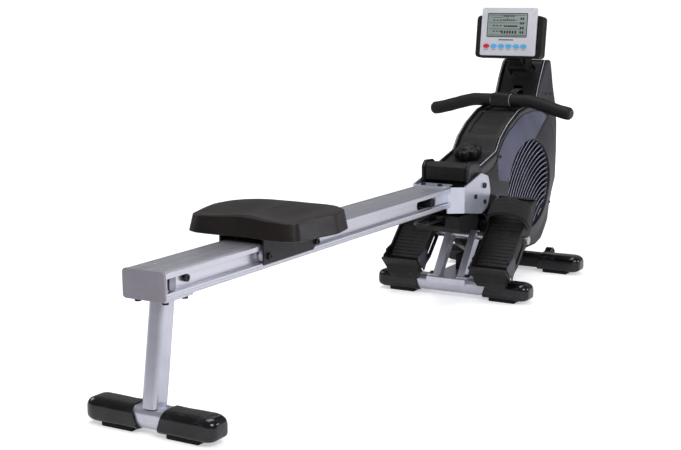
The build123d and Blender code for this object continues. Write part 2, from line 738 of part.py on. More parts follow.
def foot_strap():
    """The broad webbing over the toes of the -Y pedal, as one arched band from wall to wall."""
    frame = pedal_frame(-PEDAL_Y)
    start = frame.origin + frame.x_dir * 168
    band_plane = Plane(origin=start, x_dir=(0, 1, 0), z_dir=frame.x_dir)
    spring_line = 36
    outer, inner = PEDAL_HALF_W + 4, PEDAL_HALF_W + 0.4
    arch = Pos(0, spring_line) * Ellipse(outer, 42) + Pos(0, spring_line / 2) * Rectangle(2 * outer, spring_line)
    arch -= Pos(0, spring_line) * Ellipse(inner, 38.4)
    arch -= Pos(0, spring_line / 2 - 1) * Rectangle(2 * inner, spring_line + 2)
    arch &= Pos(0, 60) * Rectangle(200, 100)
    return extrude(band_plane * arch, amount=64)


# ---------------------------------------------------------------- lock lever

def lock_lever():
    """The looped release lever under the rail, on a short pivot."""
    loop = Pos(1250, 0, 244) * (SlotOverall(150, 44) - SlotOverall(134, 28))
    lever = extrude(loop, amount=7)
    return lever + block(1310, 1326, -22, 22, 244, 252) - disc(*LEVER_PIN, LEVER_PIN_R + 0.08, -30, 30)


# ---------------------------------------------------------------- write every node

os.makedirs("parts", exist_ok=True)

save("rail", rail())
save("rail_end_cap", rail_end_cap())
save("rear_post", rear_post())
save("rear_stabilizer_tube", foot_tube(REAR_FOOT))
save("rear_end_caps", *both(end_cap(REAR_FOOT)))
save("rear_foot_pads", *both(foot_pad(REAR_FOOT)))
save("rail_fasteners", *rail_fasteners())
save("seat_stops", *seat_stops())
save("bracket_plates", *both(fold_bracket()), bracket_cross_plate())

save("carriage_frame", carriage_frame())
save("carriage_fasteners", *roller_axles(), *seat_screws())
save("seat_pan", seat_pan())
save("seat_cushion", seat_cushion())
for place, station in zip(("rear", "front"), ROLLER_STATIONS):
    save(f"roller_{place}_left", roller(station, 1))
    save(f"roller_{place}_right", roller(station, -1))

save("front_stabilizer_tubes", foot_tube(PEDAL_FOOT), foot_tube(FRONT_FOOT))
save("front_end_caps", *both(end_cap(PEDAL_FOOT)), *both(end_cap(FRONT_FOOT)))
save("front_foot_pads", *both(foot_pad(PEDAL_FOOT)), *both(foot_pad(FRONT_FOOT)))
save("base_plate", base_plate())
save("main_frame", main_frame())
save("pedal_legs", *both(pedal_leg()))
save("pedal_axle", pedal_axle())
save("frame_fasteners", *frame_fasteners())
save("fold_pivot_bolt", fold_pivot_bolt())
save("wheel_brackets", *both(wheel_bracket()))
save("housing_right", side_panel())
save("housing_left", other_side(side_panel()))
save("spine_cover", spine_cover())
save("nose_cover", nose_cover())
save("belly_cover", belly_cover())
save("side_grilles", *both(side_grille()))
save("drive_belt", drive_belt())
save("rewind_cassette", rewind_cassette())
save("transport_wheel_left", transport_wheel(1))
save("transport_wheel_right", transport_wheel(-1))
save("lock_lever", lock_lever())

save("flywheel", flywheel())
save("strap_drum", strap_drum())
save("magnet_arm", magnet_arm(), *brake_magnets())
save("tension_knob", tension_knob())
save("handlebar", handlebar())
save("handle_grips", handle_grips())
save("handle_block", handle_block())
save("handle_strap", handle_strap())

save("console_neck", console_neck())
save("console_back", console_back())
save("console_fascia", console_fascia())
save("console_lens", console_lens())
for index in range(6):
    save(f"console_button_{index + 1}", console_button(index))

save("footplate_right", footplate())
save("footplate_left", other_side(footplate()))
save("foot_strap_right", foot_strap())
save("foot_strap_left", other_side(foot_strap()))
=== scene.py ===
import json
import logging
import math
from dataclasses import dataclass, field
from enum import Enum
from typing import Iterable, Sequence

import bmesh
import bpy
import numpy as np
from mathutils import Matrix, Vector


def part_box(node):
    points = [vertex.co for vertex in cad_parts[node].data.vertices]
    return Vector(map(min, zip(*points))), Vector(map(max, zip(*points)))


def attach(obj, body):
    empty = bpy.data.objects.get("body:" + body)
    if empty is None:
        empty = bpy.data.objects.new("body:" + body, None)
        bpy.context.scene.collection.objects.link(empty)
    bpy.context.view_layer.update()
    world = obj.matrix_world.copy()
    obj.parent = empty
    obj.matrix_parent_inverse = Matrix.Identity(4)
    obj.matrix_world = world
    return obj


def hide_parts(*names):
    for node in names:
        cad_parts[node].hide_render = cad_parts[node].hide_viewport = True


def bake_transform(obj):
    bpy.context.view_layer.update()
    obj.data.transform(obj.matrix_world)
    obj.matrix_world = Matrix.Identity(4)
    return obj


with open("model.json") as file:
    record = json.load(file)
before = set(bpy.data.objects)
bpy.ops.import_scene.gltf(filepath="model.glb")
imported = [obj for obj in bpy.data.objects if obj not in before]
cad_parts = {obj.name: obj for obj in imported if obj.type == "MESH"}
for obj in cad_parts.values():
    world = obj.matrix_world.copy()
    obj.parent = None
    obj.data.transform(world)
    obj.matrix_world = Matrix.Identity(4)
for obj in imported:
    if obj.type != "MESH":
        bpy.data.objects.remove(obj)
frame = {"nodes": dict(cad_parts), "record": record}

Array = np.ndarray
Piece = bpy.types.Object
MM = 0.001
LOG = logging.getLogger("rowing_machine")


# ------------------------------------------------------------------ frame


class Side(Enum):
    """The machine's two sides, as the sign of Y."""

    LEFT = 1
    RIGHT = -1

    @property
    def word(self) -> str:
        """The side's name in lower case."""
        return self.name.lower()


def node_box(node: str) -> tuple[Array, Array]:
    """Lowest and highest corner of a CAD node in metres.

    Args:
        node: the CAD node's name.

    Returns:
        The two corners as arrays.
    """
    low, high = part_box(node)
    return np.array(low), np.array(high)


def node_centre(node: str) -> Array:
    """The middle of a CAD node's box in metres."""
    low, high = node_box(node)
    return (low + high) / 2


REAR_FOOT_X = float(node_centre("rear_stabilizer_tube")[0])


def at(station: Array | float, y: Array | float, z: Array | float) -> Array:
    """Turn a station from the rear foot, a Y and a height, all in mm, into metres in the row frame.

    Args:
        station: distance forward of the rear foot's centre line.
        y: distance from the centre plane, positive to the left.
        z: height above the floor.

    Returns:
        Points with a last axis of three.
    """
    x, y, z = np.broadcast_arrays(np.asarray(station, float), np.asarray(y, float), np.asarray(z, float))
    return np.stack([x * MM + REAR_FOOT_X, y * MM, z * MM], axis=-1)


# ------------------------------------------------------------------ meshes


def grid_quads(rows: int, cols: int, wrap_cols: bool) -> Array:
    """Quads of a grid whose point (r, c) has index r * cols + c.

    Args:
        rows: number of rows.
        cols: number of columns.
        wrap_cols: whether the last column joins the first.

    Returns:
        An array of four indices a face.
    """
    last = cols if wrap_cols else cols - 1
    r, c = np.meshgrid(np.arange(rows - 1), np.arange(last), indexing="ij")
    right = (c + 1) % cols
    quads = np.stack([r * cols + c, r * cols + right, (r + 1) * cols + right, (r + 1) * cols + c], axis=-1)
    return quads.reshape(-1, 4)


def settle(piece: Piece, sharp_degrees: float, merge: float = 1e-6) -> Piece:
    """Merge doubled points, turn the faces outwards and mark the sharp edges.

    Args:
        piece: the mesh object.
        sharp_degrees: edges that turn more than this stay sharp.
        merge: distance in metres below which points become one.

    Returns:
        The same object.
    """
    mesh = piece.data
    work = bmesh.new()
    work.from_mesh(mesh)
    bmesh.ops.remove_doubles(work, verts=work.verts, dist=merge)
    bmesh.ops.dissolve_degenerate(work, edges=work.edges, dist=merge)
    bmesh.ops.recalc_face_normals(work, faces=work.faces)
    work.to_mesh(mesh)
    work.free()
    mesh.polygons.foreach_set("use_smooth", np.ones(len(mesh.polygons), bool))
    mesh.set_sharp_from_angle(angle=math.radians(sharp_degrees))
    mesh.update()
    return piece


def piece_from_arrays(name: str, points: Array, faces: Array, sharp_degrees: float = 35) -> Piece:
    """Make an object from points in metres and faces of equal length.

    Args:
        name: the piece's name.
        points: an array whose last axis is three.
        faces: an array of index rows.
        sharp_degrees: see settle.

    Returns:
        The new object, at the origin.
    """
    mesh = bpy.data.meshes.new(name)
    mesh.from_pydata(points.reshape(-1, 3).tolist(), [], faces.tolist())
    piece = bpy.data.objects.new(name, mesh)
    bpy.context.scene.collection.objects.link(piece)
    return settle(piece, sharp_degrees)


def surface(name: str, points: Array, wrap: bool = False, sharp_degrees: float = 35) -> Piece:
    """Make an object from a grid of points.

    Args:
        name: the piece's name.
        points: an array of rows, columns and three.
        wrap: whether each row is a closed loop.
        sharp_degrees: see settle.

    Returns:
        The new object.
    """
    rows, cols = points.shape[:2]
    return piece_from_arrays(name, points, grid_quads(rows, cols, wrap), sharp_degrees)


def unit(vectors: Array) -> Array:
    """Vectors scaled to a length of one."""
    return vectors / np.linalg.norm(vectors, axis=-1, keepdims=True)


def square_to(tangent: Array) -> Array:
    """Plane vectors turned a quarter clockwise."""
    return np.stack([tangent[:, 1], -tangent[:, 0]], axis=-1)


def run_lengths(path: Array) -> Array:
    """Length along a path from its start to each point."""
    return np.concatenate([[0], np.cumsum(np.linalg.norm(np.diff(path, axis=0), axis=1))])


def circle(count: int) -> Array:
    """Points spread evenly on the unit circle."""
    turn = np.linspace(0, 2 * math.pi, count, endpoint=False)
    return np.stack([np.cos(turn), np.sin(turn)], axis=-1)


def with_poles(points: Array) -> Array:
    """Add a row at each end of a stack of loops, drawn together at that loop's middle, to close it."""
    first = np.broadcast_to(points[0].mean(axis=0), points[0].shape)
    last = np.broadcast_to(points[-1].mean(axis=0), points[-1].shape)
    return np.concatenate([first[None], points, last[None]])


def rounded_loop(points: Sequence[tuple[float, float]], radii: Sequence[float], steps: int = 8) -> Array:
    """A closed outline whose corners are arcs.

    At each corner the arc touches both sides at radius / tan(half the corner's angle), and its points are
    spread evenly by angle about the arc's centre.

    Args:
        points: the corners in order.
        radii: one radius a corner.
        steps: points on each arc.

    Returns:
        An array of two-dimensional points.
    """
    corners = np.asarray(points, float)
    arcs = []
    for index, radius in enumerate(radii):
        corner = corners[index]
        before = corners[index - 1] - corner
        after = corners[(index + 1) % len(corners)] - corner
        before_length, after_length = np.linalg.norm(before), np.linalg.norm(after)
        before, after = before / before_length, after / after_length
        half = math.acos(float(np.clip(before @ after, -1, 1))) / 2
        reach = min(radius / math.tan(half), 0.49 * before_length, 0.49 * after_length)
        used = reach * math.tan(half)
        bisector = (before + after) / np.linalg.norm(before + after)
        centre = corner + bisector * used / math.sin(half)
        start, end = corner + before * reach - centre, corner + after * reach - centre
        first, last = math.atan2(start[1], start[0]), math.atan2(end[1], end[0])
        turn = (last - first + math.pi) % (2 * math.pi) - math.pi
        angles = first + turn * np.linspace(0, 1, steps)
        arcs.append(centre + used * np.stack([np.cos(angles), np.sin(angles)], axis=-1))
    return np.concatenate(arcs)


def evenly(loop: Array, count: int) -> Array:
    """Resample a closed outline to points spread evenly by length."""
    closed = np.concatenate([loop, loop[:1]])
    length = run_lengths(closed)
    places = np.linspace(0, length[-1], count, endpoint=False)
    return np.stack([np.interp(places, length, closed[:, axis]) for axis in (0, 1)], axis=-1)


def box_loop(width: float, height: float, radius: float, steps: int = 6) -> Array:
    """A rounded rectangle about the origin."""
    w, h = width / 2, height / 2
    return rounded_loop([(w, -h), (w, h), (-w, h), (-w, -h)], [radius] * 4, steps)


def along(path: Array, section: Array, up: Sequence[float]) -> Array:
    """Carry a section along a path, square to it.

    The tangent is the path's gradient, the side is up crossed with the tangent, and each section point is
    the path point plus its two coordinates times side and height.

    Args:
        path: points in metres.
        section: two-dimensional points in metres, or one such outline for each path point.
        up: a direction that is never along the path.

    Returns:
        A grid of one loop for each path point.
    """
    tangent = unit(np.gradient(path, axis=0))
    side = unit(np.cross(np.asarray(up, float), tangent))
    height = np.cross(tangent, side)
    sections = np.broadcast_to(section, (len(path), *section.shape[-2:]))
    return path[:, None] + sections[..., :1] * side[:, None] + sections[..., 1:] * height[:, None]


def turned(profile: Array, centre: Array, axis: Array, spokes: int = 48) -> Array:
    """Turn a profile of (radius, depth) pairs about an axis.

    Args:
        profile: radius and depth in metres, row by row.
        centre: where depth is nought.
        axis: the unit direction of depth.
        spokes: points in each loop.

    Returns:
        A grid of one loop for each profile point.
    """
    axis = unit(np.asarray(axis, float))
    helper = np.array([0.0, 1.0, 0.0]) if abs(axis[1]) < 0.9 else np.array([1.0, 0.0, 0.0])
    first = unit(np.cross(axis, helper))
    second = np.cross(axis, first)
    around = circle(spokes)
    ring = around[:, :1] * first + around[:, 1:] * second
    return centre + profile[:, 1, None, None] * axis + profile[:, 0, None, None] * ring


def smooth_step(value: Array | float, low: float, high: float) -> Array:
    """Nought below low, one above high, and a smooth climb between."""
    share = np.clip((np.asarray(value, float) - low) / (high - low), 0, 1)
    return share * share * (3 - 2 * share)


def once(side: Side, node: str) -> tuple[str, ...]:
    """The node that a pair of pieces replaces, named by the right-hand piece alone."""
    return (node,) if side is Side.RIGHT else ()


def mirrored(points: Array, side: Side) -> Array:
    """Points drawn on the -Y side, kept there or mirrored to the left."""
    return points * np.array([1.0, 1.0 if side is Side.RIGHT else -1.0, 1.0])


def joined(name: str, pieces: Iterable[Piece]) -> Piece:
    """Join several mesh objects into one piece under a new name."""
    work = bmesh.new()
    for piece in pieces:
        work.from_mesh(piece.data)
        old = piece.data
        bpy.data.objects.remove(piece)
        bpy.data.meshes.remove(old)
    mesh = bpy.data.meshes.new(name)
    work.to_mesh(mesh)
    work.free()
    result = bpy.data.objects.new(name, mesh)
    bpy.context.scene.collection.objects.link(result)
    return result


def thicken(piece: Piece, thickness: float) -> Piece:
    """Give an open surface a wall of that thickness in metres on its inner side."""
    wall = piece.modifiers.new("wall", "SOLIDIFY")
    wall.thickness = thickness
    wall.offset = -1
    wall.use_even_offset = False
    return piece


# ------------------------------------------------------------------ shader groups


def new_group(name: str, inputs: dict[str, float], outputs: Sequence[str]) -> bpy.types.ShaderNodeTree:
    """Start a shader node group whose sockets are all floats.

    Args:
        name: the group's name.
        inputs: default value by input name.
        outputs: output names.

    Returns:
        The empty tree with its input and output nodes named In and Out.
    """
    tree = bpy.data.node_groups.new(name, "ShaderNodeTree")
    for label, value in inputs.items():
        socket = tree.interface.new_socket(name=label, in_out="INPUT", socket_type="NodeSocketFloat")
        socket.default_value = value
    for label in outputs:
        tree.interface.new_socket(name=label, in_out="OUTPUT", socket_type="NodeSocketFloat")
    tree.nodes.new("NodeGroupInput").name = "In"
    tree.nodes.new("NodeGroupOutput").name = "Out"
    return tree


def math_node(tree: bpy.types.NodeTree, operation: str, first, second) -> bpy.types.NodeSocket:
    """Add a Math node.

    Args:
        tree: the node tree.
        operation: the Math node's operation.
        first: a socket or a number.
        second: a socket or a number.

    Returns:
        The node's result socket.
    """
    node = tree.nodes.new("ShaderNodeMath")
    node.operation = operation
    for slot, value in enumerate((first, second)):
        if isinstance(value, (int, float)):
            node.inputs[slot].default_value = value
        else:
            tree.links.new(value, node.inputs[slot])
    return node.outputs[0]


def stretched_position(tree: bpy.types.NodeTree, scale: Sequence[float]) -> bpy.types.NodeSocket:
    """Object coordinates stretched by a scale on each axis."""
    coordinates = tree.nodes.new("ShaderNodeTexCoord")
    mapping = tree.nodes.new("ShaderNodeMapping")
    mapping.inputs["Scale"].default_value = scale
    tree.links.new(coordinates.outputs["Object"], mapping.inputs["Vector"])
    return mapping.outputs["Vector"]


def noise(tree: bpy.types.NodeTree, vector, scale, detail: float = 4, rough: float = 0.5):
    """Add a noise texture and return its factor socket."""
    node = tree.nodes.new("ShaderNodeTexNoise")
    node.inputs["Detail"].default_value = detail
    node.inputs["Roughness"].default_value = rough
    tree.links.new(vector, node.inputs["Vector"])
    if isinstance(scale, (int, float)):
        node.inputs["Scale"].default_value = scale
    else:
        tree.links.new(scale, node.inputs["Scale"])
    return node.outputs["Fac"]


class Effects:
    """The shader groups that the finishes share, each built once."""

    def __init__(self) -> None:
        """Start with no group built."""
        self._made: dict[str, bpy.types.ShaderNodeTree] = {}

    def get(self, name: str) -> bpy.types.ShaderNodeTree:
        """The named group: grain, drawn, dust, scuffs, weave or worn."""
        if name not in self._made:
            self._made[name] = getattr(self, f"_{name}")()
        return self._made[name]

    def _grain(self) -> bpy.types.ShaderNodeTree:
        """Moulded skin: cells broken up by fine noise, and a slow drift of tone."""
        tree = new_group("moulded_grain", {"Scale": 900.0}, ("Height", "Tone"))
        start, end = tree.nodes["In"], tree.nodes["Out"]
        position = stretched_position(tree, (1, 1, 1))
        cells = tree.nodes.new("ShaderNodeTexVoronoi")
        cells.feature = "SMOOTH_F1"
        tree.links.new(position, cells.inputs["Vector"])
        tree.links.new(start.outputs["Scale"], cells.inputs["Scale"])
        fine = noise(tree, position, start.outputs["Scale"], 3)
        tree.links.new(math_node(tree, "ADD", cells.outputs["Distance"], fine), end.inputs["Height"])
        tree.links.new(noise(tree, position, 9.0, 5, 0.6), end.inputs["Tone"])
        return tree

    def _drawn(self) -> bpy.types.ShaderNodeTree:
        """Drawn or brushed metal: noise pulled out into long lines along X."""
        tree = new_group("drawn_lines", {"Fineness": 1.0}, ("Height", "Tone"))
        start, end = tree.nodes["In"], tree.nodes["Out"]
        fine = noise(tree, stretched_position(tree, (3, 700, 700)), start.outputs["Fineness"], 4, 0.65)
        broad = noise(tree, stretched_position(tree, (1.2, 60, 60)), start.outputs["Fineness"], 3, 0.6)
        tree.links.new(fine, end.inputs["Height"])
        both = math_node(tree, "ADD", fine, broad)
        tree.links.new(math_node(tree, "MULTIPLY", both, 0.5), end.inputs["Tone"])
        return tree

    def _dust(self) -> bpy.types.ShaderNodeTree:
        """A thin patchy film that lies on faces that look up."""
        tree = new_group("settled_dust", {"Amount": 0.2}, ("Mask",))
        start, end = tree.nodes["In"], tree.nodes["Out"]
        geometry = tree.nodes.new("ShaderNodeNewGeometry")
        split = tree.nodes.new("ShaderNodeSeparateXYZ")
        tree.links.new(geometry.outputs["Normal"], split.inputs["Vector"])
        level = math_node(tree, "POWER", math_node(tree, "MAXIMUM", split.outputs["Z"], 0.0), 3.0)
        patches = noise(tree, stretched_position(tree, (1, 1, 1)), 26.0, 6, 0.7)
        mask = math_node(tree, "MULTIPLY", level, patches)
        tree.links.new(math_node(tree, "MULTIPLY", mask, start.outputs["Amount"]), end.inputs["Mask"])
        return tree

    def _scuffs(self) -> bpy.types.ShaderNodeTree:
        """Hairline scratches: the narrow crests of a stretched, twisted noise."""
        tree = new_group("hairline_scuffs", {"Amount": 0.5}, ("Mask",))
        start, end = tree.nodes["In"], tree.nodes["Out"]
        lines = noise(tree, stretched_position(tree, (14, 90, 40)), 5.0, 2, 0.5)
        crest = math_node(tree, "ABSOLUTE", math_node(tree, "SUBTRACT", lines, 0.5), 0.0)
        thin = math_node(tree, "LESS_THAN", crest, 0.006)
        patches = noise(tree, stretched_position(tree, (1, 1, 1)), 17.0, 2)
        places = math_node(tree, "GREATER_THAN", patches, 0.56)
        mask = math_node(tree, "MULTIPLY", thin, places)
        tree.links.new(math_node(tree, "MULTIPLY", mask, start.outputs["Amount"]), end.inputs["Mask"])
        return tree

    def _weave(self) -> bpy.types.ShaderNodeTree:
        """Webbing: ribs across Y crossed by finer threads, both as sine waves."""
        tree = new_group("webbing_weave", {"Pitch": 1.0}, ("Height", "Tone"))
        start, end = tree.nodes["In"], tree.nodes["Out"]
        waves = []
        for scale in ((0, 2200, 0), (1500, 0, 1500)):
            node = tree.nodes.new("ShaderNodeTexWave")
            node.inputs["Distortion"].default_value = 0.6
            position = stretched_position(tree, [value * 0.16 for value in scale])
            tree.links.new(position, node.inputs["Vector"])
            tree.links.new(start.outputs["Pitch"], node.inputs["Scale"])
            node.bands_direction = "DIAGONAL"
            waves.append(node.outputs["Fac"])
        tree.links.new(math_node(tree, "MULTIPLY", waves[0], waves[1]), end.inputs["Height"])
        tree.links.new(noise(tree, stretched_position(tree, (1, 1, 1)), 320.0, 3), end.inputs["Tone"])
        return tree

    def _worn(self) -> bpy.types.ShaderNodeTree:
        """Edges rubbed bright, where the normal averaged over a small radius leaves the true one."""
        tree = new_group("edge_wear", {"Radius": 0.0012, "Amount": 0.5}, ("Mask",))
        start, end = tree.nodes["In"], tree.nodes["Out"]
        rounded = tree.nodes.new("ShaderNodeBevel")
        rounded.samples = 4
        tree.links.new(start.outputs["Radius"], rounded.inputs["Radius"])
        geometry = tree.nodes.new("ShaderNodeNewGeometry")
        product = tree.nodes.new("ShaderNodeVectorMath")
        product.operation = "DOT_PRODUCT"
        tree.links.new(rounded.outputs["Normal"], product.inputs[0])
        tree.links.new(geometry.outputs["Normal"], product.inputs[1])
        short = math_node(tree, "SUBTRACT", 0.985, product.outputs["Value"])
        turn = math_node(tree, "MULTIPLY", short, 9.0)
        edge = math_node(tree, "MINIMUM", math_node(tree, "MAXIMUM", turn, 0.0), 1.0)
        patches = noise(tree, stretched_position(tree, (1, 1, 1)), 70.0, 4)
        broken = math_node(tree, "MULTIPLY", edge, patches)
        tree.links.new(math_node(tree, "MULTIPLY", broken, start.outputs["Amount"]), end.inputs["Mask"])
        return tree


# ------------------------------------------------------------------ finishes


def linear(colour: str) -> tuple[float, float, float, float]:
    """Scene-linear RGBA of a colour written as six hexadecimal digits."""
    parts = np.array([int(colour[place:place + 2], 16) for place in (0, 2, 4)]) / 255
    values = np.where(parts <= 0.04045, parts / 12.92, ((parts + 0.055) / 1.055) ** 2.4)
    return (*values.tolist(), 1.0)


SCRATCH_COLOUR = "8a8a90"
DUST_COLOUR = "a5a09a"


class Texture(Enum):
    """The fine relief of a finish, named after its shader group."""

    GRAIN = "grain"
    DRAWN = "drawn"
    WEAVE = "weave"


@dataclass(frozen=True)
class Finish:
    """One finish: its two tones, its gloss and its fine relief.

    colour and tone are the darker and the lighter tone, depth the bump's strength, scale the relief's
    fineness, rounding a radius in metres by which hard edges shade round, and worn the colour of rubbed
    edges.
    """

    slot: str
    colour: str
    tone: str
    roughness: float
    metallic: float = 0.0
    coat: float = 0.0
    texture: Texture = Texture.GRAIN
    scale: float = 900.0
    depth: float = 0.12
    dust: float = 0.025
    scuffs: float = 0.2
    rounding: float = 0.0
    worn: str = ""
    specular: float = 0.3
    sheen: float = 0.0

    def group(self, tree: bpy.types.NodeTree, effects: Effects, name: str, **values: float):
        """Place a shared effect in this finish's material.

        Args:
            tree: the material's node tree.
            effects: the shared groups.
            name: the effect's name.
            values: numbers for the group's inputs.

        Returns:
            The group node.
        """
        node = tree.nodes.new("ShaderNodeGroup")
        node.node_tree = effects.get(name)
        for label, value in values.items():
            node.inputs[label].default_value = value
        return node

    def mixed(self, tree: bpy.types.NodeTree, factor, first, second):
        """Mix two colours, each a socket or an RGBA tuple, and return the result's socket."""
        node = tree.nodes.new("ShaderNodeMix")
        node.data_type = "RGBA"
        tree.links.new(factor, node.inputs[0])
        for place, value in ((6, first), (7, second)):
            if isinstance(value, tuple):
                node.inputs[place].default_value = value
            else:
                tree.links.new(value, node.inputs[place])
        return node.outputs[2]

    def material(self, effects: Effects, name: str) -> bpy.types.Material:
        """Build the finish as a Blender material.

        Args:
            effects: the shared groups.
            name: the material's name.

        Returns:
            The material.
        """
        made = bpy.data.materials.new(name)
        made.use_nodes = True
        tree = made.node_tree
        shader = tree.nodes["Principled BSDF"]
        shader.inputs["Metallic"].default_value = self.metallic
        shader.inputs["Coat Weight"].default_value = self.coat
        shader.inputs["Coat Roughness"].default_value = 0.12
        shader.inputs["Specular IOR Level"].default_value = self.specular
        shader.inputs["Sheen Weight"].default_value = self.sheen
        scale_inputs = {Texture.GRAIN: "Scale", Texture.DRAWN: "Fineness", Texture.WEAVE: "Pitch"}
        relief = self.group(tree, effects, self.texture.value, **{scale_inputs[self.texture]: self.scale})
        spread = tree.nodes.new("ShaderNodeMapRange")
        spread.inputs["From Min"].default_value = 0.3
        spread.inputs["From Max"].default_value = 0.7
        tree.links.new(relief.outputs["Tone"], spread.inputs["Value"])
        colour = self.mixed(tree, spread.outputs["Result"], linear(self.colour), linear(self.tone))
        scuffs = self.group(tree, effects, "scuffs", Amount=self.scuffs)
        lighter = linear(self.worn or SCRATCH_COLOUR)
        colour = self.mixed(tree, scuffs.outputs["Mask"], colour, lighter)
        if self.worn:
            edges = self.group(tree, effects, "worn", Amount=0.6)
            colour = self.mixed(tree, edges.outputs["Mask"], colour, lighter)
        dust = self.group(tree, effects, "dust", Amount=self.dust)
        colour = self.mixed(tree, dust.outputs["Mask"], colour, linear(DUST_COLOUR))
        tree.links.new(colour, shader.inputs["Base Color"])
        drift = tree.nodes.new("ShaderNodeMapRange")
        drift.inputs["To Min"].default_value = self.roughness * 0.85
        drift.inputs["To Max"].default_value = min(1.0, self.roughness * 1.15)
        tree.links.new(relief.outputs["Tone"], drift.inputs["Value"])
        rough = math_node(tree, "ADD", drift.outputs["Result"], dust.outputs["Mask"])
        tree.links.new(rough, shader.inputs["Roughness"])
        bump = tree.nodes.new("ShaderNodeBump")
        bump.inputs["Strength"].default_value = self.depth
        bump.inputs["Distance"].default_value = 0.0004
        tree.links.new(relief.outputs["Height"], bump.inputs["Height"])
        if self.rounding:
            rounded = tree.nodes.new("ShaderNodeBevel")
            rounded.samples = 4
            rounded.inputs["Radius"].default_value = self.rounding
            tree.links.new(rounded.outputs["Normal"], bump.inputs["Normal"])
        tree.links.new(bump.outputs["Normal"], shader.inputs["Normal"])
        return made


class Palette(Enum):
    """Every finish on the machine."""

    RAIL = Finish("rail_aluminium", "c4c4ce", "dcdce4", 0.3, metallic=0.9, texture=Texture.DRAWN, scale=1.0,
                  depth=0.05, dust=0.1, scuffs=0.25, rounding=0.0008)
    SILVER_PAINT = Finish("silver_paint", "b6b7c4", "cccdd8", 0.3, metallic=0.8, coat=0.15, depth=0.05,
                          scale=1500, rounding=0.001, worn="8e8e96")
    BRACKET = Finish("bracket_steel", "c2c4d2", "d4d6e2", 0.32, metallic=0.7, coat=0.3, depth=0.04,
                     scale=1500, rounding=0.001, worn="90909a")
    FRAME_BLACK = Finish("frame_black", "08080a", "101013", 0.4, coat=0.2, depth=0.08, scale=1300,
                         worn="45454a", rounding=0.001)
    CARRIAGE = Finish("carriage_grey", "141418", "1f1f23", 0.42, depth=0.08, scale=1300, rounding=0.001)
    BOLT = Finish("bolt_black", "151517", "26262a", 0.34, metallic=0.35, depth=0.05, scale=2500,
                  rounding=0.0005, worn="5f5f66")
    AXLE = Finish("axle_steel", "a6a6ae", "c4c4cc", 0.26, metallic=0.9, texture=Texture.DRAWN, scale=1.3,
                  depth=0.04)
    CAP = Finish("cap_black", "060608", "0b0b0e", 0.16, coat=0.3, depth=0.03, scale=700, scuffs=0.35)
    PANEL = Finish("panel_charcoal", "151519", "1c1c21", 0.36, depth=0.16, scale=1100, dust=0.02)
    # Lighter copy of the panel paint for the band above the oval: a painted highlight.
    PANEL_BAND = Finish("panel_charcoal", "4a4b5c", "5c5d72", 0.32, depth=0.1, scale=1100, metallic=0.1)
    # Darker navy copy of the panel paint for the forward facet: painted shade.
    PANEL_NAVY = Finish("panel_charcoal", "0e0e16", "151520", 0.34, depth=0.14, scale=1100)
    # Light colour for thin beads and rings that stand for edge glints: a painted highlight.
    RIM_LIGHT = Finish("panel_charcoal", "8f8f99", "c2c2cb", 0.32, depth=0.05)
    SLAT = Finish("panel_charcoal", "20202c", "30303e", 0.32, depth=0.1, scale=1000)
    # Lighter copy of the slat paint for the louvres' crests: a painted highlight.
    SLAT_EDGE = Finish("panel_charcoal", "8a8b9a", "b0b1c0", 0.3, depth=0.05)
    SPINE = Finish("spine_black", "0d0b0b", "141111", 0.5, depth=0.22, scale=1000, dust=0.015)
    # Darker copy of the spine paint for the spine's recesses: painted shade.
    SPINE_INSERT = Finish("spine_black", "070606", "0c0a0a", 0.6, depth=0.2, scale=1400)
    END_GREY = Finish("end_grey", "84808a", "918d97", 0.5, depth=0.1, scale=1200, dust=0.06)
    FASCIA = Finish("fascia_silver", "c3c3cb", "d4d4da", 0.36, metallic=0.15, depth=0.04, scale=2500)
    SCREEN = Finish("lens_clear", "7f8a86", "93a09a", 0.24, depth=0.02, scale=2500, coat=0.5)
    SEGMENT = Finish("lens_clear", "20242a", "2b3036", 0.4, depth=0.02, scale=2500)
    BLUE = Finish("button_blue", "4a9fd0", "62b4e2", 0.38, depth=0.05, scale=2000, dust=0.03)
    RED = Finish("button_red", "c41d35", "dc2c48", 0.38, depth=0.05, scale=2000, dust=0.03)
    SEAT = Finish("seat_foam", "140e0d", "1e1615", 0.36, depth=0.3, scale=520, dust=0.02, scuffs=0.12)
    GRIP = Finish("grip_foam", "0d0a0a", "151110", 0.62, depth=0.45, scale=850, dust=0.02, scuffs=0.05)
    GRIP_END = Finish("grip_foam", "24242e", "343442", 0.4, depth=0.15, scale=900)
    WEBBING = Finish("strap_webbing", "0c0a0b", "151213", 0.75, texture=Texture.WEAVE, scale=5.0, depth=0.6,
                     scuffs=0.0, sheen=0.1)
    PEDAL = Finish("pedal_black", "0f0c0c", "181413", 0.5, depth=0.3, scale=700, scuffs=0.3)
    # Grey for the strap stitches; on the heel plates it is a lighter copy of the pedal paint, a painted
    # highlight.
    PEDAL_GREY = Finish("pedal_black", "3a3940", "4b4a54", 0.45, depth=0.2, scale=900)
    PAD = Finish("pad_rubber", "0a0a0c", "111113", 0.7, depth=0.3, scale=600)
    STOP = Finish("pad_rubber", "83838d", "9a9aa4", 0.6, depth=0.2, scale=600)
    ROLLER = Finish("roller_nylon", "b9b9c2", "d0d0d8", 0.4, depth=0.05, scale=1200)
    KNOB = Finish("knob_black", "0c0a0a", "141211", 0.4, depth=0.2, scale=900, worn="3c3a3a")
    PAN = Finish("pan_board", "0c0a0b", "141213", 0.6, depth=0.2, scale=700)
    BELT = Finish("belt_rubber", "161616", "202020", 0.7, depth=0.2, scale=600)
    CAST = Finish("cast_wheel", "2b2b30", "45454c", 0.45, metallic=0.6, depth=0.2, scale=500)
    WHEEL = Finish("wheel_black", "060608", "0c0c10", 0.18, coat=0.3, depth=0.05, scale=900)


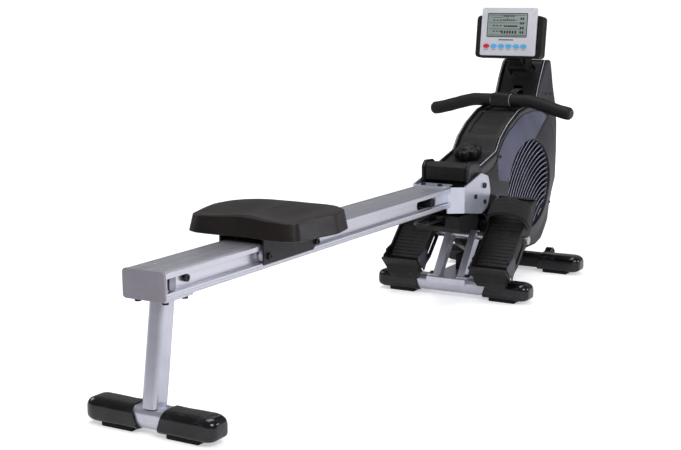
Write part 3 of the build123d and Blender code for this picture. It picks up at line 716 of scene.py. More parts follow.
CAD_FINISHES: dict[str, Palette] = {
    "rail_aluminium": Palette.RAIL, "silver_paint": Palette.SILVER_PAINT, "bracket_steel": Palette.BRACKET,
    "frame_black": Palette.FRAME_BLACK, "carriage_grey": Palette.CARRIAGE, "bolt_black": Palette.BOLT,
    "axle_steel": Palette.AXLE, "cap_black": Palette.CAP, "panel_charcoal": Palette.PANEL,
    "spine_black": Palette.SPINE, "end_grey": Palette.END_GREY, "fascia_silver": Palette.FASCIA,
    "lens_clear": Palette.SCREEN, "button_blue": Palette.BLUE, "button_red": Palette.RED,
    "seat_foam": Palette.SEAT, "grip_foam": Palette.GRIP, "strap_webbing": Palette.WEBBING,
    "pedal_black": Palette.PEDAL, "pad_rubber": Palette.PAD, "roller_nylon": Palette.ROLLER,
    "knob_black": Palette.KNOB, "pan_board": Palette.PAN, "belt_rubber": Palette.BELT,
    "cast_wheel": Palette.CAST, "wheel_black": Palette.WHEEL,
}


class Paintbox:
    """Gives pieces and CAD nodes their materials, each made once."""

    def __init__(self) -> None:
        """Start with no material made."""
        self._effects = Effects()
        self._made: dict[Palette, bpy.types.Material] = {}

    def material(self, choice: Palette) -> bpy.types.Material:
        """The material of a finish."""
        if choice not in self._made:
            self._made[choice] = choice.value.material(self._effects, choice.name.lower())
        return self._made[choice]

    def dress(self, piece: Piece, body: str, choice: Palette, *replaced: str,
              extra: Sequence[Palette] = ()) -> Piece:
        """Finish a piece, fix it to its body and hide the CAD nodes it stands for.

        Args:
            piece: the mesh object.
            body: the CAD body it rides on.
            choice: its main finish.
            replaced: CAD nodes that it replaces.
            extra: further finishes for its other material slots.

        Returns:
            The same object.
        """
        piece.data.materials.clear()
        for each in (choice, *extra):
            piece.data.materials.append(self.material(each))
        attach(piece, body)
        if replaced:
            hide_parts(*replaced)
        LOG.info("%s rides on %s", piece.name, body)
        return piece

    def dress_cad(self) -> None:
        """Give every CAD node the finish of the record's own material for it."""
        slots = {part["node"]: part["material_slot"] for part in frame["record"]["subparts"]}
        for name, node in frame["nodes"].items():
            choice = CAD_FINISHES[slots[name]]
            if not node.material_slots:
                node.data.materials.append(None)
            for socket in node.material_slots:
                socket.material = self.material(choice)
            LOG.info("CAD node %s has finish %s", name, choice.name)


def paint_faces(piece: Piece, index: int, chosen: Array) -> None:
    """Give the chosen faces another of the piece's material slots.

    Args:
        piece: the mesh object.
        index: the material slot.
        chosen: a boolean for each face.
    """
    mesh = piece.data
    current = np.zeros(len(mesh.polygons), np.int32)
    mesh.polygons.foreach_get("material_index", current)
    current[chosen] = index
    mesh.polygons.foreach_set("material_index", current)
    mesh.update()


def face_vectors(piece: Piece, kind: str) -> Array:
    """The "center" in metres, or the "normal", of every face of a piece."""
    values = np.zeros(len(piece.data.polygons) * 3)
    piece.data.polygons.foreach_get(kind, values)
    return values.reshape(-1, 3)


def face_towards(piece: Piece, direction: Sequence[float]) -> Piece:
    """Turn an open surface over if its mean normal points away from a direction."""
    mesh = piece.data
    areas = np.zeros(len(mesh.polygons))
    mesh.polygons.foreach_get("area", areas)
    mean = (face_vectors(piece, "normal") * areas[:, None]).sum(axis=0)
    if mean @ np.asarray(direction, float) < 0:
        mesh.flip_normals()
        mesh.set_sharp_from_angle(angle=math.radians(35))
    return piece


def bar_along(name: str, path: Array, section: Array, up: Sequence[float]) -> Piece:
    """A closed bar: a section carried along a path, with both ends drawn to a point."""
    return surface(name, with_poles(along(path, section, up)), wrap=True)


# ------------------------------------------------------------------ casing


@dataclass
class Casing:
    """The moulded casing: two side panels, their grilles, the spine between them and its trim."""

    paint: Paintbox
    oval_centre: tuple[float, float] = (1788.0, 288.0)
    oval_half: tuple[float, float] = (170.0, 143.0)
    columns: int = 440
    rim_y: float = 75.5
    oval_rim_y: float = 79.0
    spine_half: float = 61.6
    spine_inset: float = 5.6
    bead_radius: float = 1.1
    panel_wall: float = 2.2
    spine_wall: float = 2.6
    slat_centre: tuple[float, float] = (1950.0, 92.0)
    slat_pitch: float = 17.0
    slat_first: float = 108.0
    slat_count: int = 18
    crease: tuple[tuple[float, float], ...] = (
        (-180, 225), (-150, 215), (-125, 200), (-90, 174), (-60, 186), (-30, 202), (0, 222), (30, 246),
        (53, 252), (75, 232), (91, 224), (123, 229), (141, 250), (154, 262), (166, 245), (180, 225),
    )
    outline: Array = field(init=False)

    def __post_init__(self) -> None:
        """Work out the side view's outline once."""
        corners = [
            (1338, 262), (1336, 392), (1352, 407), (1400, 404), (1426, 387), (1540, 418), (1572, 456),
            (1628, 493), (1706, 526), (1842, 546), (1876, 614), (1912, 670), (1962, 668), (2002, 604),
            (2034, 540), (2054, 462), (2057, 372), (2052, 274), (2018, 222), (1974, 147), (1904, 92),
            (1862, 82), (1640, 82), (1560, 120), (1500, 214), (1440, 250),
        ]
        radii = [6, 10, 8, 14, 14, 26, 30, 50, 30, 26, 30, 16, 16, 60, 60, 60, 90, 40, 60, 50, 30, 20, 40,
                 40, 40, 20]
        self.outline = evenly(rounded_loop(corners, radii, 10), self.columns)

    def inset(self, distance: Array | float) -> Array:
        """The outline moved inwards along its own normals by a distance in mm, one value or one a point."""
        tangent = unit(np.roll(self.outline, -1, axis=0) - np.roll(self.outline, 1, axis=0))
        return self.outline + square_to(tangent) * np.broadcast_to(distance, (self.columns,))[:, None]

    def loops(self) -> tuple[Array, Array]:
        """The oval's points and the crease's points that lie under each outline point.

        The crease's point is at the outline point's own angle about the oval's centre and at the crease's
        radius there, or, along the nose, half way to the nose's axis. The oval's point is at the crease
        point's angle, sheared near the oval's top so that one column follows the light facet's edge.

        Returns:
            Two arrays of one point a column.
        """
        centre = np.array(self.oval_centre)
        away = self.outline - centre
        angle = np.degrees(np.arctan2(away[:, 1], away[:, 0]))
        table = np.array(self.crease, float)
        radius = np.minimum(np.interp(angle, table[:, 0], table[:, 1]), np.linalg.norm(away, axis=1) - 12)
        turn = np.radians(angle)
        radial = centre + radius[:, None] * np.stack([np.cos(turn), np.sin(turn)], axis=-1)
        nose_axis = np.array([1500.0, 325.0])
        nose = nose_axis + (self.outline - nose_axis) * np.array([0.8, 0.5])
        weight = 1 - smooth_step(self.outline[:, 0], 1440, 1545)
        weight = (weight * (self.outline[:, 1] > 200))[:, None]
        middle = radial * (1 - weight) + nose * weight
        away = middle - centre
        inner = np.unwrap(np.arctan2(away[:, 1], away[:, 0]))
        inner = np.minimum.accumulate(inner - 2e-4 * np.arange(self.columns))
        start = np.degrees(inner[0])
        inner = np.radians(start) + (inner - inner[0]) * (2 * math.pi / (inner[0] - inner[-1] + 0.02))
        degrees = (np.degrees(inner) + 180) % 360 - 180
        inner = inner + np.radians(20) * np.exp(-((degrees - 55) / 26) ** 2)
        oval = centre + np.array(self.oval_half) * np.stack([np.cos(inner), np.sin(inner)], axis=-1)
        return oval, middle

    def panel(self, side: Side) -> Piece:
        """One side panel: recess wall, sloped facets out to a crease, outer zone, rolled rim and edge wall.

        Rows run from inside the oval recess to the edge. Each row's place is a straight share of the way
        from the oval to the crease, or from the crease to the rim, and its distance from the centre plane
        falls from the oval's rim to the crease and rises again to the panel's rim. The faces of the band
        above the oval get a much lighter copy of the panel paint as a painted highlight, and the forward
        facet a darker navy copy as painted shade.

        Args:
            side: which side of the machine.

        Returns:
            The panel as a closed shell.
        """
        oval, middle = self.loops()
        centre = np.array(self.oval_centre)
        front = smooth_step(self.outline[:, 0], 1930, 1944)
        low = self.outline[:, 1] < 215
        front = np.maximum(front, low)
        soft = 7 + 15 * smooth_step(self.outline[:, 0], 1960, 2020) + 4 * low
        inner_rim = self.inset(soft)
        angle = np.degrees(np.arctan2(middle[:, 1] - centre[1], middle[:, 0] - centre[0]))
        band = smooth_step(angle, 50, 56) * (1 - smooth_step(angle, 168, 178))
        crease_y = 75.2 - 2.2 * band - 5.0 * smooth_step(middle[:, 0], 1840, 2040)
        rim_y = self.rim_y - 9.0 * smooth_step(self.outline[:, 0], 1900, 2040)
        rows = []

        def row(points: Array, y: Array | float) -> None:
            rows.append(at(points[:, 0], -np.broadcast_to(y, (self.columns,)), points[:, 1]))

        for share, depth in ((0.975, 64.0), (0.975, 70.0), (0.978, 76.0), (0.984, 78.0), (0.993, 78.9)):
            row(centre + (oval - centre) * share, depth)
        for share in np.linspace(0, 1, 16):
            row(oval + (middle - oval) * share, self.oval_rim_y + (crease_y - self.oval_rim_y) * share)
        step = 1.4 * band
        for share in np.linspace(0.02, 1, 16):
            y = crease_y - step + (rim_y - crease_y + step) * smooth_step(share, 0, 1)
            row(middle + (inner_rim - middle) * share, y)
        for turn in np.linspace(15, 90, 6):
            a = math.radians(turn)
            row(self.inset(soft * (1 - math.sin(a))), rim_y - soft * (1 - math.cos(a)))
        edge_y = rim_y - soft
        lip_y = np.where(front > 0.5, edge_y * 0.8, edge_y - 1.5)
        row(self.inset(np.where(front > 0.5, 0, 0.6)), lip_y)
        tunnel = (self.outline[:, 0] < 1640) & low
        last_y = np.where(front > 0.5, np.where(tunnel, 27.0, 0.2), self.spine_half + 0.2)
        row(self.inset(np.where(front > 0.5, 0, 9.0)), last_y)
        points = mirrored(np.stack(rows), side)
        panel = surface(f"panel_{side.word}", points, wrap=True)
        face_towards(panel, (0, side.value, 0))
        thicken(panel, self.panel_wall * MM)
        # Slot 1 is a lighter copy of the panel paint (painted highlight), slot 2 a darker navy copy (painted
        # shade).
        self.paint.dress(panel, "frame", Palette.PANEL, f"housing_{side.word}",
                         extra=(Palette.PANEL_BAND, Palette.PANEL_NAVY))
        centres = face_vectors(panel, "center")
        x = (centres[:, 0] - REAR_FOOT_X) / MM
        z = centres[:, 2] / MM
        across, up = x - centre[0], z - centre[1]
        angles = np.degrees(np.arctan2(up, across))
        reach = np.hypot(across, up)
        table = np.array(self.crease, float)
        oval_share = np.hypot(across / self.oval_half[0], up / self.oval_half[1])
        facet = (x - 1830) * 0.45 - (z - 433) * 0.893
        inside = (reach < np.interp(angles, table[:, 0], table[:, 1])) & (oval_share > 1.0) & (facet < 0)
        inside &= (angles > 40) & (angles < 170)
        # The band's faces get the lighter copy: a painted highlight on faces turned towards the light.
        paint_faces(panel, 1, inside)
        # The forward facet's faces get the darker navy copy: painted shade on faces turned away from the
        # light.
        forward = (facet >= 0) & (z > 250) | ((z > 400) & (x > 1700) & ~inside & (reach > 224) & (x > 1838))
        paint_faces(panel, 2, forward & ~inside & (oval_share > 1.0))
        return panel

    def rim_line(self, side: Side) -> Piece:
        """A fine bead in a light colour where the panel's rim meets the spine, from the tower's top to the
        nose: a painted highlight.
        """
        x = self.outline[:, 0]
        first = int(np.argmin(np.hypot(x - 1426, self.outline[:, 1] - 389)))
        last = int(np.argmin(np.hypot(x - 1936, self.outline[:, 1] - 669)))
        path = mirrored(at(x[first:last], -self.rim_y + 6.2, self.outline[first:last, 1]), side)
        section = self.bead_radius * MM * circle(8)
        bead = bar_along(f"rim_line_{side.word}", path, section, (0, 1, 0))
        return self.paint.dress(bead, "frame", Palette.RIM_LIGHT)

    def grille(self, side: Side) -> Piece:
        """The curved louvres across the oval recess, each an arc with a raised rear edge, and their ring.
        Faces on the louvres' raised crest get a lighter copy of the slat paint: a painted highlight.
        """
        section = np.array([(-5.6, 0.0), (-5.9, 6.6), (-5.1, 7.5), (-4.0, 7.4), (1.5, 4.4), (5.2, 1.4),
                            (5.4, 0.0)])
        louvres = []
        for index in range(self.slat_count):
            reach = self.slat_first + index * self.slat_pitch
            turn = np.radians(np.linspace(60, 230, 600))
            x = self.slat_centre[0] + reach * np.cos(turn)
            z = self.slat_centre[1] + reach * np.sin(turn)
            share = np.hypot((x - self.oval_centre[0]) / (self.oval_half[0] - 5),
                             (z - self.oval_centre[1]) / (self.oval_half[1] - 5))
            held = np.nonzero(share < 1)[0]
            if len(held) < 12:
                continue
            turn = np.linspace(turn[held[0]], turn[held[-1]], 40)[:, None]
            radius = reach - section[None, :, 0]
            points = at(self.slat_centre[0] + radius * np.cos(turn), -66.0 - section[None, :, 1],
                        self.slat_centre[1] + radius * np.sin(turn))
            louvre = with_poles(mirrored(points, side))
            louvres.append(surface(f"louvre_{index}", louvre, wrap=True, sharp_degrees=50))
        ring_section = [(0.972, 65.0), (0.972, 72.0), (0.955, 73.0), (0.945, 71.0), (0.945, 65.0),
                        (0.972, 65.0)]
        ring_x, ring_z = (np.array(self.oval_half) * circle(160)).T
        x, z = self.oval_centre
        ring = np.stack([at(x + share * ring_x, -depth, z + share * ring_z) for share, depth in ring_section])
        louvres.append(surface("ring", mirrored(ring, side), wrap=True))
        grille = joined(f"grille_{side.word}", louvres)
        settle(grille, 50)
        self.paint.dress(grille, "frame", Palette.SLAT, *once(side, "side_grilles"),
                         extra=(Palette.SLAT_EDGE,))
        depths = np.abs(face_vectors(grille, "center")[:, 1]) / MM
        # Crest faces get the lighter copy: a painted highlight along each louvre's raised edge.
        crest = (depths > 72.9) & (np.abs(face_vectors(grille, "normal")[:, 1]) > 0.3)
        paint_faces(grille, 1, crest)
        return grille

    def spine(self) -> Piece:
        """The strip between the panels, with a sunk field, the strap slot and the socket under the neck.

        A grid follows the inset outline from the nose to the tower's top. Each point is sunk along the
        outline's normal by the field's depth, the socket's depth and a roll at the strip's two sides. The
        sunk field, the ledge and the socket get a darker copy of the spine paint: painted shade in the
        recesses.
        """
        line = self.inset(self.spine_inset)
        x, z = self.outline[:, 0], self.outline[:, 1]
        first = int(np.argmin(np.hypot(x - 1412, z - 400)))
        last = int(np.argmin(np.hypot(x - 1950, z - 669)))
        coarse = line[first:last]
        length = run_lengths(coarse)
        places = np.linspace(0, length[-1], 330)
        path = np.stack([np.interp(places, length, coarse[:, k]) for k in (0, 1)], axis=-1)
        normal = square_to(unit(np.gradient(path, axis=0)))
        flank = np.linspace(19, 60.8, 18)
        edge = self.spine_half
        y = np.concatenate([[-edge], -flank[::-1], np.linspace(-17, 17, 16), flank, [edge]])
        px, pz = path[:, 0][:, None], path[:, 1][:, None]
        span = np.abs(y)[None, :]
        sunk = 5.5 * (span < 46) * smooth_step(px, 1592, 1598) * (1 - smooth_step(px, 1700, 1706))
        ledge = 9.0 * smooth_step(px, 1712, 1722) * (1 - smooth_step(px, 1822, 1836)) * (span < 50)
        socket = 13.0 * (1 - smooth_step(np.hypot(span / 44, (pz - 636) / 26), 0.9, 1.0)) * (px > 1860)
        roll = 1.4 * smooth_step(span, 58.5, edge) ** 2
        depth = sunk + ledge + socket + roll
        spots = path[:, None, :] + normal[:, None, :] * depth[..., None]
        points = at(spots[..., 0], y[None, :], spots[..., 1])
        strip = surface("spine_strip", points, sharp_degrees=40)
        centres = face_vectors(strip, "center")
        slot = (np.abs(centres[:, 1]) < 0.0175) & (centres[:, 2] > 0.566) & (centres[:, 2] < 0.590)
        work = bmesh.new()
        work.from_mesh(strip.data)
        work.faces.ensure_lookup_table()
        bmesh.ops.delete(work, geom=[work.faces[int(i)] for i in np.nonzero(slot)[0]], context="FACES")
        work.to_mesh(strip.data)
        work.free()
        face_towards(strip, (-0.5, 0, 1))
        thicken(strip, self.spine_wall * MM)
        self.paint.dress(strip, "frame", Palette.SPINE, "spine_cover", extra=(Palette.SPINE_INSERT,))
        centres = face_vectors(strip, "center")
        x, z = (centres[:, 0] - REAR_FOOT_X) / MM, centres[:, 2] / MM
        # Faces in the sunk field, on the ledge and in the socket get the darker copy: painted shade in the
        # recesses.
        inset = (np.abs(centres[:, 1]) < 0.0445) & (x > 1596) & (x < 1704)
        inset |= (np.abs(centres[:, 1]) < 0.050) & (x > 1714) & (x < 1836)
        inset |= (np.hypot(centres[:, 1] / 0.042, (z - 636) / 25) < 1) & (x > 1860)
        paint_faces(strip, 1, inset)
        return strip

    def screws(self, side: Side) -> Piece:
        """The screw heads that hold the panel, each a disc with a dished middle."""
        heads = []
        places = ((1813, 469, 74.9), (1560, 300, 76.0), (1690, 110, 74.8), (1975, 205, 72.8),
                  (1990, 520, 68.6))
        profile = np.array([(0, 0.2), (1.6, 0.3), (2.0, 1.0), (3.4, 1.3), (4.4, 0.9), (4.7, 0.0),
                            (4.7, -1.5), (0, -1.5)]) * MM
        for index, (x, z, depth) in enumerate(places):
            centre = mirrored(at(x, -depth, z), side)
            heads.append(surface(f"head_{index}", turned(profile, centre, (0, side.value, 0), 20), wrap=True))
        screws = joined(f"panel_screws_{side.word}", heads)
        settle(screws, 40)
        return self.paint.dress(screws, "frame", Palette.BOLT)

    def build(self) -> None:
        """Build the whole casing."""
        for side in Side:
            self.panel(side)
            self.rim_line(side)
            self.grille(side)
            self.screws(side)
        self.spine()


# ------------------------------------------------------------------ seat


@dataclass
class Seat:
    """The moulded saddle: a deep skirt, a rolled top edge and two shallow hollows."""

    paint: Paintbox
    low: float = 366.5
    foot: float = 357.5
    high: float = 405.0
    columns: int = 160
    middle: tuple[float, float] = (440.0, 0.0)
    frames: int = 12
    move_cap: float = 0.0010
    rise_cap: float = 0.0006

    def plan(self) -> Array:
        """The saddle seen from above: wide towards the front third, with a wavy rear edge."""
        right = [(304, -60), (303, -118), (316, -148), (446, -174), (520, -160), (560, -110)]
        corners = right + [(561, 110), (520, 160), (446, 174), (316, 148), (303, 118), (304, 60), (309, 0)]
        radii = [60, 18, 26, 46, 60, 34, 34, 60, 46, 26, 18, 60, 120]
        return evenly(rounded_loop(corners, radii, 8), self.columns)

    def cushion(self) -> Piece:
        """The saddle as loops that shrink from the skirt's foot over the rolled edge to the middle.

        Each loop is the plan scaled about its middle. The top's height is the rim's height less a dish,
        less two hollows for the sitting bones, each a bell curve, plus a crown along the centre line.
        """
        plan = self.plan()
        middle = np.array(self.middle)
        rows = []
        for share, height in ((0.02, self.low), (0.5, self.low), (0.9, self.low), (0.925, self.foot + 3),
                              (0.95, self.foot), (0.99, self.foot), (1.0, self.foot + 1.5)):
            loop = middle + (plan - middle) * share
            rows.append(at(loop[:, 0], loop[:, 1], height))
        edge = middle + (plan - middle) * 0.94
        rim = self.top(edge[:, 0], edge[:, 1], 0.94)
        start = self.foot + 1.5
        for climb in (0.03, 0.1, 0.3, 0.5, 0.7, 0.88, 0.95, 0.985):
            loop = middle + (plan - middle) * (1.0 - 0.05 * climb)
            rows.append(at(loop[:, 0], loop[:, 1], start + (rim - start) * climb))
        rolled = [0.946, 0.938, 0.925, 0.905, 0.875]
        for share in np.concatenate([rolled, np.linspace(0.83, 0.02, 20)]):
            loop = middle + (plan - middle) * share
            rows.append(at(loop[:, 0], loop[:, 1], self.top(loop[:, 0], loop[:, 1], share)))
        points = with_poles(np.stack(rows))
        saddle = surface("seat_saddle", points, wrap=True, sharp_degrees=60)
        self.fill(saddle)
        smooth = saddle.modifiers.new("smooth", "SUBSURF")
        smooth.levels = 1
        smooth.render_levels = 1
        self.paint.dress(saddle, "carriage", Palette.SEAT, "seat_cushion")
        return saddle

    def top(self, x: Array, y: Array, share: float) -> Array:
        """Height of the saddle's upper skin in mm at a point and a share of the plan."""
        edge = smooth_step(share, 0.84, 0.955)
        rim = self.high + 0.5 - 2.4 * edge ** 2
        wave = 4.0 * np.exp(-((x - 320) / 60) ** 2) * (np.cos(y / 118 * math.pi) - 0.6)
        dish = 8.0 * (1 - smooth_step(share, 0.35, 0.9)) * smooth_step(560 - x, 10, 190)
        bones = 6.5 * (np.exp(-((x - 420) / 66) ** 2 - ((np.abs(y) - 68) / 42) ** 2))
        crown = 3.5 * np.exp(-(y / 26) ** 2) * smooth_step(x, 380, 540) * (1 - smooth_step(share, 0.6, 0.95))
        return rim + wave * (1 - 0.3 * edge) - dish - bones + crown - 2.0

    def fill(self, saddle: Piece) -> None:
        """Let the foam's skin settle: a short pressure simulation, with each point's move capped."""
        scene = bpy.context.scene
        before = np.zeros(len(saddle.data.vertices) * 3)
        saddle.data.vertices.foreach_get("co", before)
        cloth = saddle.modifiers.new("skin", "CLOTH")
        cloth.settings.quality = 6
        cloth.settings.use_pressure = True
        cloth.settings.uniform_pressure_force = 3.0
        cloth.settings.tension_stiffness = 60
        cloth.settings.compression_stiffness = 60
        cloth.settings.bending_stiffness = 30
        cloth.settings.effector_weights.gravity = 0
        cloth.point_cache.frame_start = 1
        cloth.point_cache.frame_end = self.frames
        for number in range(1, self.frames + 1):
            scene.frame_set(number)
        evaluated = saddle.evaluated_get(bpy.context.evaluated_depsgraph_get())
        after = np.zeros_like(before)
        evaluated.data.vertices.foreach_get("co", after)
        saddle.modifiers.remove(cloth)
        scene.frame_set(1)
        move = (after - before).reshape(-1, 3)
        size = np.linalg.norm(move, axis=1, keepdims=True)
        move *= np.minimum(1, self.move_cap / np.maximum(size, 1e-9))
        move[:, 2] = np.minimum(move[:, 2], self.rise_cap)
        saddle.data.vertices.foreach_set("co", (before.reshape(-1, 3) + move).ravel())
        saddle.data.update()

    def build(self) -> None:
        """Build the saddle."""
        self.cushion()


# ------------------------------------------------------------------ handle


@dataclass
class Handle:
    """The pull handle: foam grips with end caps, the clamp block's trim and the webbing to the tower."""

    paint: Paintbox
    place: tuple[float, float] = (1738.0, 553.0)
    half: float = 232.0
    grip: float = 19.6
    block_half: float = 30.5
    strap_start: float = 1762.0
    strap_end: float = 1886.0

    def centre_line(self, y: Array) -> tuple[Array, Array]:
        """The bar's station and height where it is y mm from the middle: level, then drooping and back."""
        out = np.clip(np.abs(y) / self.half, 0, 1)
        bend = smooth_step(out, 0.34, 1.0) * 0.55 + np.clip((out - 0.4) / 0.6, 0, 1) * 0.45
        return self.place[0] - 10 * bend, self.place[1] - 33 * bend

    def grip_sleeve(self, side: Side) -> Piece:
        """A foam sleeve: rings along the bar whose radius rounds in at both ends."""
        y = np.concatenate([[31.6, 31.7, 32.4, 34.0], np.linspace(38, 221, 40), [225.5, 229.2, 231.5, 232.0]])
        radius = np.concatenate([[12.2, 17.6, 18.9, 19.4], np.full(40, self.grip),
                                 [19.2, 17.9, 15.2, 12.4]])
        radius[4:44] += 0.18 * np.sin(np.linspace(0, 9 * math.pi, 40))
        x, z = self.centre_line(y)
        path = at(x, side.value * y, z)
        path = path + np.array([0.0, 1e-7, 0.0]) * np.arange(len(path))[:, None]
        points = along(path, radius[:, None, None] * MM * circle(40), (0, 0, 1))
        sleeve = surface(f"grip_{side.word}", with_poles(points), wrap=True, sharp_degrees=50)
        return self.paint.dress(sleeve, "handle", Palette.GRIP, *once(side, "handle_grips"))

    def end_cap(self, side: Side) -> Piece:
        """The domed plug in the grip's outer end."""
        ends = np.array([self.half - 4, self.half])
        x, z = self.centre_line(ends)
        path = at(x, side.value * ends, z)
        axis = path[1] - path[0]
        profile = np.array([(0, 5.4), (5, 5.1), (10, 4.0), (13.6, 2.0), (15.0, -0.4), (14.6, -3.0),
                            (0, -3.0)]) * MM
        cap = surface(f"grip_plug_{side.word}", turned(profile, path[1], axis, 32), wrap=True)
        return self.paint.dress(cap, "handle", Palette.GRIP_END)

    def joint_ring(self, side: Side) -> Piece:
        """A ring in a light colour where the sleeve meets the clamp block: a painted highlight."""
        profile = np.array([(12.3, -0.8), (18.6, -0.8), (20.0, -0.4), (20.0, 0.5), (18.6, 0.8),
                            (12.3, 0.8), (12.3, -0.8)]) * MM
        centre = at(self.place[0], side.value * (self.block_half + 0.2), self.place[1])
        ring = surface(f"grip_ring_{side.word}", turned(profile, centre, (0, side.value, 0), 40), wrap=True)
        return self.paint.dress(ring, "handle", Palette.RIM_LIGHT)

    def clamp(self) -> Piece:
        """The clamp block's softened shell: rounded squares along Y that swell in the middle."""
        x, z = self.place
        spans = np.concatenate([[-30, -29.7, -28.4], np.linspace(-25, 25, 15), [28.4, 29.7, 30]])
        shrink = np.concatenate([[0.9, 0.95, 0.985], np.full(15, 1.0), [0.985, 0.95, 0.9]])
        swell = 1 + 0.012 * np.cos(spans / 30 * math.pi / 2)
        loop = box_loop(52, 44, 9, 8)
        rows = []
        for y, grow in zip(spans, shrink * swell):
            rows.append(at(x + 4 + loop[:, 0] * grow, y, z + loop[:, 1] * grow))
        block = surface("clamp_block", with_poles(np.stack(rows)), wrap=True, sharp_degrees=50)
        return self.paint.dress(block, "handle", Palette.SPINE, "handle_block")

    def strap(self) -> Piece:
        """The webbing from the clamp block into the tower's slot, sagging a little between them."""
        share = np.linspace(0, 1, 46)
        x = self.strap_start + share * (self.strap_end - self.strap_start)
        z = self.place[1] + smooth_step(share, 0.1, 0.75) * 25 - 2.0 * np.sin(share * math.pi) ** 2
        edge = np.array([(-12.6, -0.7), (-13.0, 0.0), (-12.6, 0.7), (-6, 0.95), (0, 0.85), (6, 0.95),
                         (12.6, 0.7), (13.0, 0.0), (12.6, -0.7), (6, -0.95), (0, -0.85), (-6, -0.95)]) * MM
        webbing = bar_along("pull_webbing", at(x, 0.0, z), edge, (0, 0, 1))
        webbing.data.materials.append(self.paint.material(Palette.WEBBING))
        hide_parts("handle_strap")
        tuple(at(1766, 0, 553))
        tuple(at(1862, 0, 577))
        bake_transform(webbing)
        LOG.info("pull_webbing blends from handle to frame")
        return webbing

    def build(self) -> None:
        """Build the handle's visible pieces."""
        for side in Side:
            self.grip_sleeve(side)
            self.end_cap(side)
            self.joint_ring(side)
        self.clamp()
        self.strap()


# ------------------------------------------------------------------ console


@dataclass
class Console:
    """The console's face: a printed fascia, a screen with generic bars, and small marks."""

    paint: Paintbox
    origin: tuple[float, float] = (1785.0, 752.0)
    tilt: float = 8.0
    size: tuple[float, float] = (184.0, 148.0)
    face_rise: float = 9.0
    window: tuple[float, float] = (130.0, 70.0)
    window_spot: tuple[float, float] = (-5.0, 29.0)
    button_pitch: float = 25.0
    button_shift: float = -8.0
    button_row: float = -36.0

    def on_face(self, across: Array, up: Array, out: Array) -> Array:
        """Points in metres for places on the console's face.

        Args:
            across: mm to the rower's right.
            up: mm up the face.
            out: mm out of the face.

        Returns:
            The points.
        """
        a = math.radians(self.tilt)
        across, up, out = np.broadcast_arrays(across, up, out)
        station = self.origin[0] + up * math.sin(a) - out * math.cos(a)
        height = self.origin[1] + up * math.cos(a) + out * math.sin(a)
        return at(station, -across, height)

    def plate(self, name: str, loop: Array, middle: tuple[float, float], low: float, high: float,
              soft: float) -> Piece:
        """A flat plate with a rounded front edge, from a loop about its middle on the face."""
        rows = []
        for share, out in ((0.001, low), (1, low), (1, high - soft), (1 - soft * 0.003, high - soft * 0.3),
                           (1 - soft * 0.008, high), (0.5, high), (0.001, high)):
            rows.append(self.on_face(middle[0] + loop[:, 0] * share, middle[1] + loop[:, 1] * share, out))
        return surface(name, np.stack(rows), wrap=True, sharp_degrees=30)

    def fascia(self) -> None:
        """The silver face plate, the dark line round its window and the screen in it."""
        plate = self.plate("fascia_plate", box_loop(*self.size, 6, 6), (0, self.face_rise), 0.2, 7.0, 1.2)
        self.paint.dress(plate, "console", Palette.FASCIA, "console_fascia")
        line = self.plate("window_line", box_loop(self.window[0] + 5, self.window[1] + 5, 4, 6),
                          self.window_spot, 6.4, 7.25, 0.3)
        self.paint.dress(line, "console", Palette.SPINE)
        screen = self.plate("screen", box_loop(*self.window, 3, 6), self.window_spot, 6.6, 7.5, 0.2)
        self.paint.dress(screen, "console", Palette.SCREEN, "console_lens")

    def marks(self) -> None:
        """The screen's generic bars and blocks, and the small dashes under the buttons."""
        bars = []
        rows = [(0, 31.0, 122, 1.6), (-32, 24, 34, 1.4), (0, 24, 1.6, 12), (8, 15.5, 50, 1.4),
                (0, 7.0, 122, 1.2), (0, -12.0, 122, 1.2), (0, -31.0, 122, 1.6), (12, -3, 46, 4.4)]
        rows += [(-44 + 11 * place, 15.0 - 17.0 * line, 7.0, 3.2) for line in range(3) for place in range(3)]
        rows += [(-12 + 6.6 * place, 27.6 - 12.0 * line, 4.2, 4.6) for line in range(2) for place in range(6)]
        rows += [(-16 + 9 * place, -21.5, 5.6, 9.0) for place in range(6)]
        rows += [(53 - 7.5 * place, 20.0 - 14.0 * line, 5.4, 7.4) for line in range(4) for place in range(2)]
        for index, (across, up, width, height) in enumerate(rows):
            spot = (self.window_spot[0] + across, self.window_spot[1] + up)
            bars.append(self.plate(f"bar_{index}", box_loop(width, height, 0.4, 2), spot, 7.3, 7.62, 0.05))
        print_lines = joined("screen_marks", bars)
        settle(print_lines, 30)
        self.paint.dress(print_lines, "console", Palette.SEGMENT)
        dashes = []
        for index in range(6):
            across = self.button_shift + (index - 2.5) * self.button_pitch
            for part, width in ((-3.6, 5.5), (3.2, 4.5)):
                dashes.append(self.plate(f"dash_{index}_{part}", box_loop(width, 1.5, 0.3, 2),
                                         (across + part, self.button_row - 11), 6.9, 7.12, 0.05))
        for index, width in enumerate((22, 30)):
            spot = (-20 + 24 * index, -16.5)
            dashes.append(self.plate(f"title_{index}", box_loop(width, 3.0, 0.5, 2), spot, 6.9, 7.12, 0.05))
        dash_piece = joined("fascia_marks", dashes)
        settle(dash_piece, 30)
        self.paint.dress(dash_piece, "console", Palette.SEGMENT)

    def build(self) -> None:
        """Build the console's face."""
        self.fascia()
        self.marks()


# ------------------------------------------------------------------ pedals


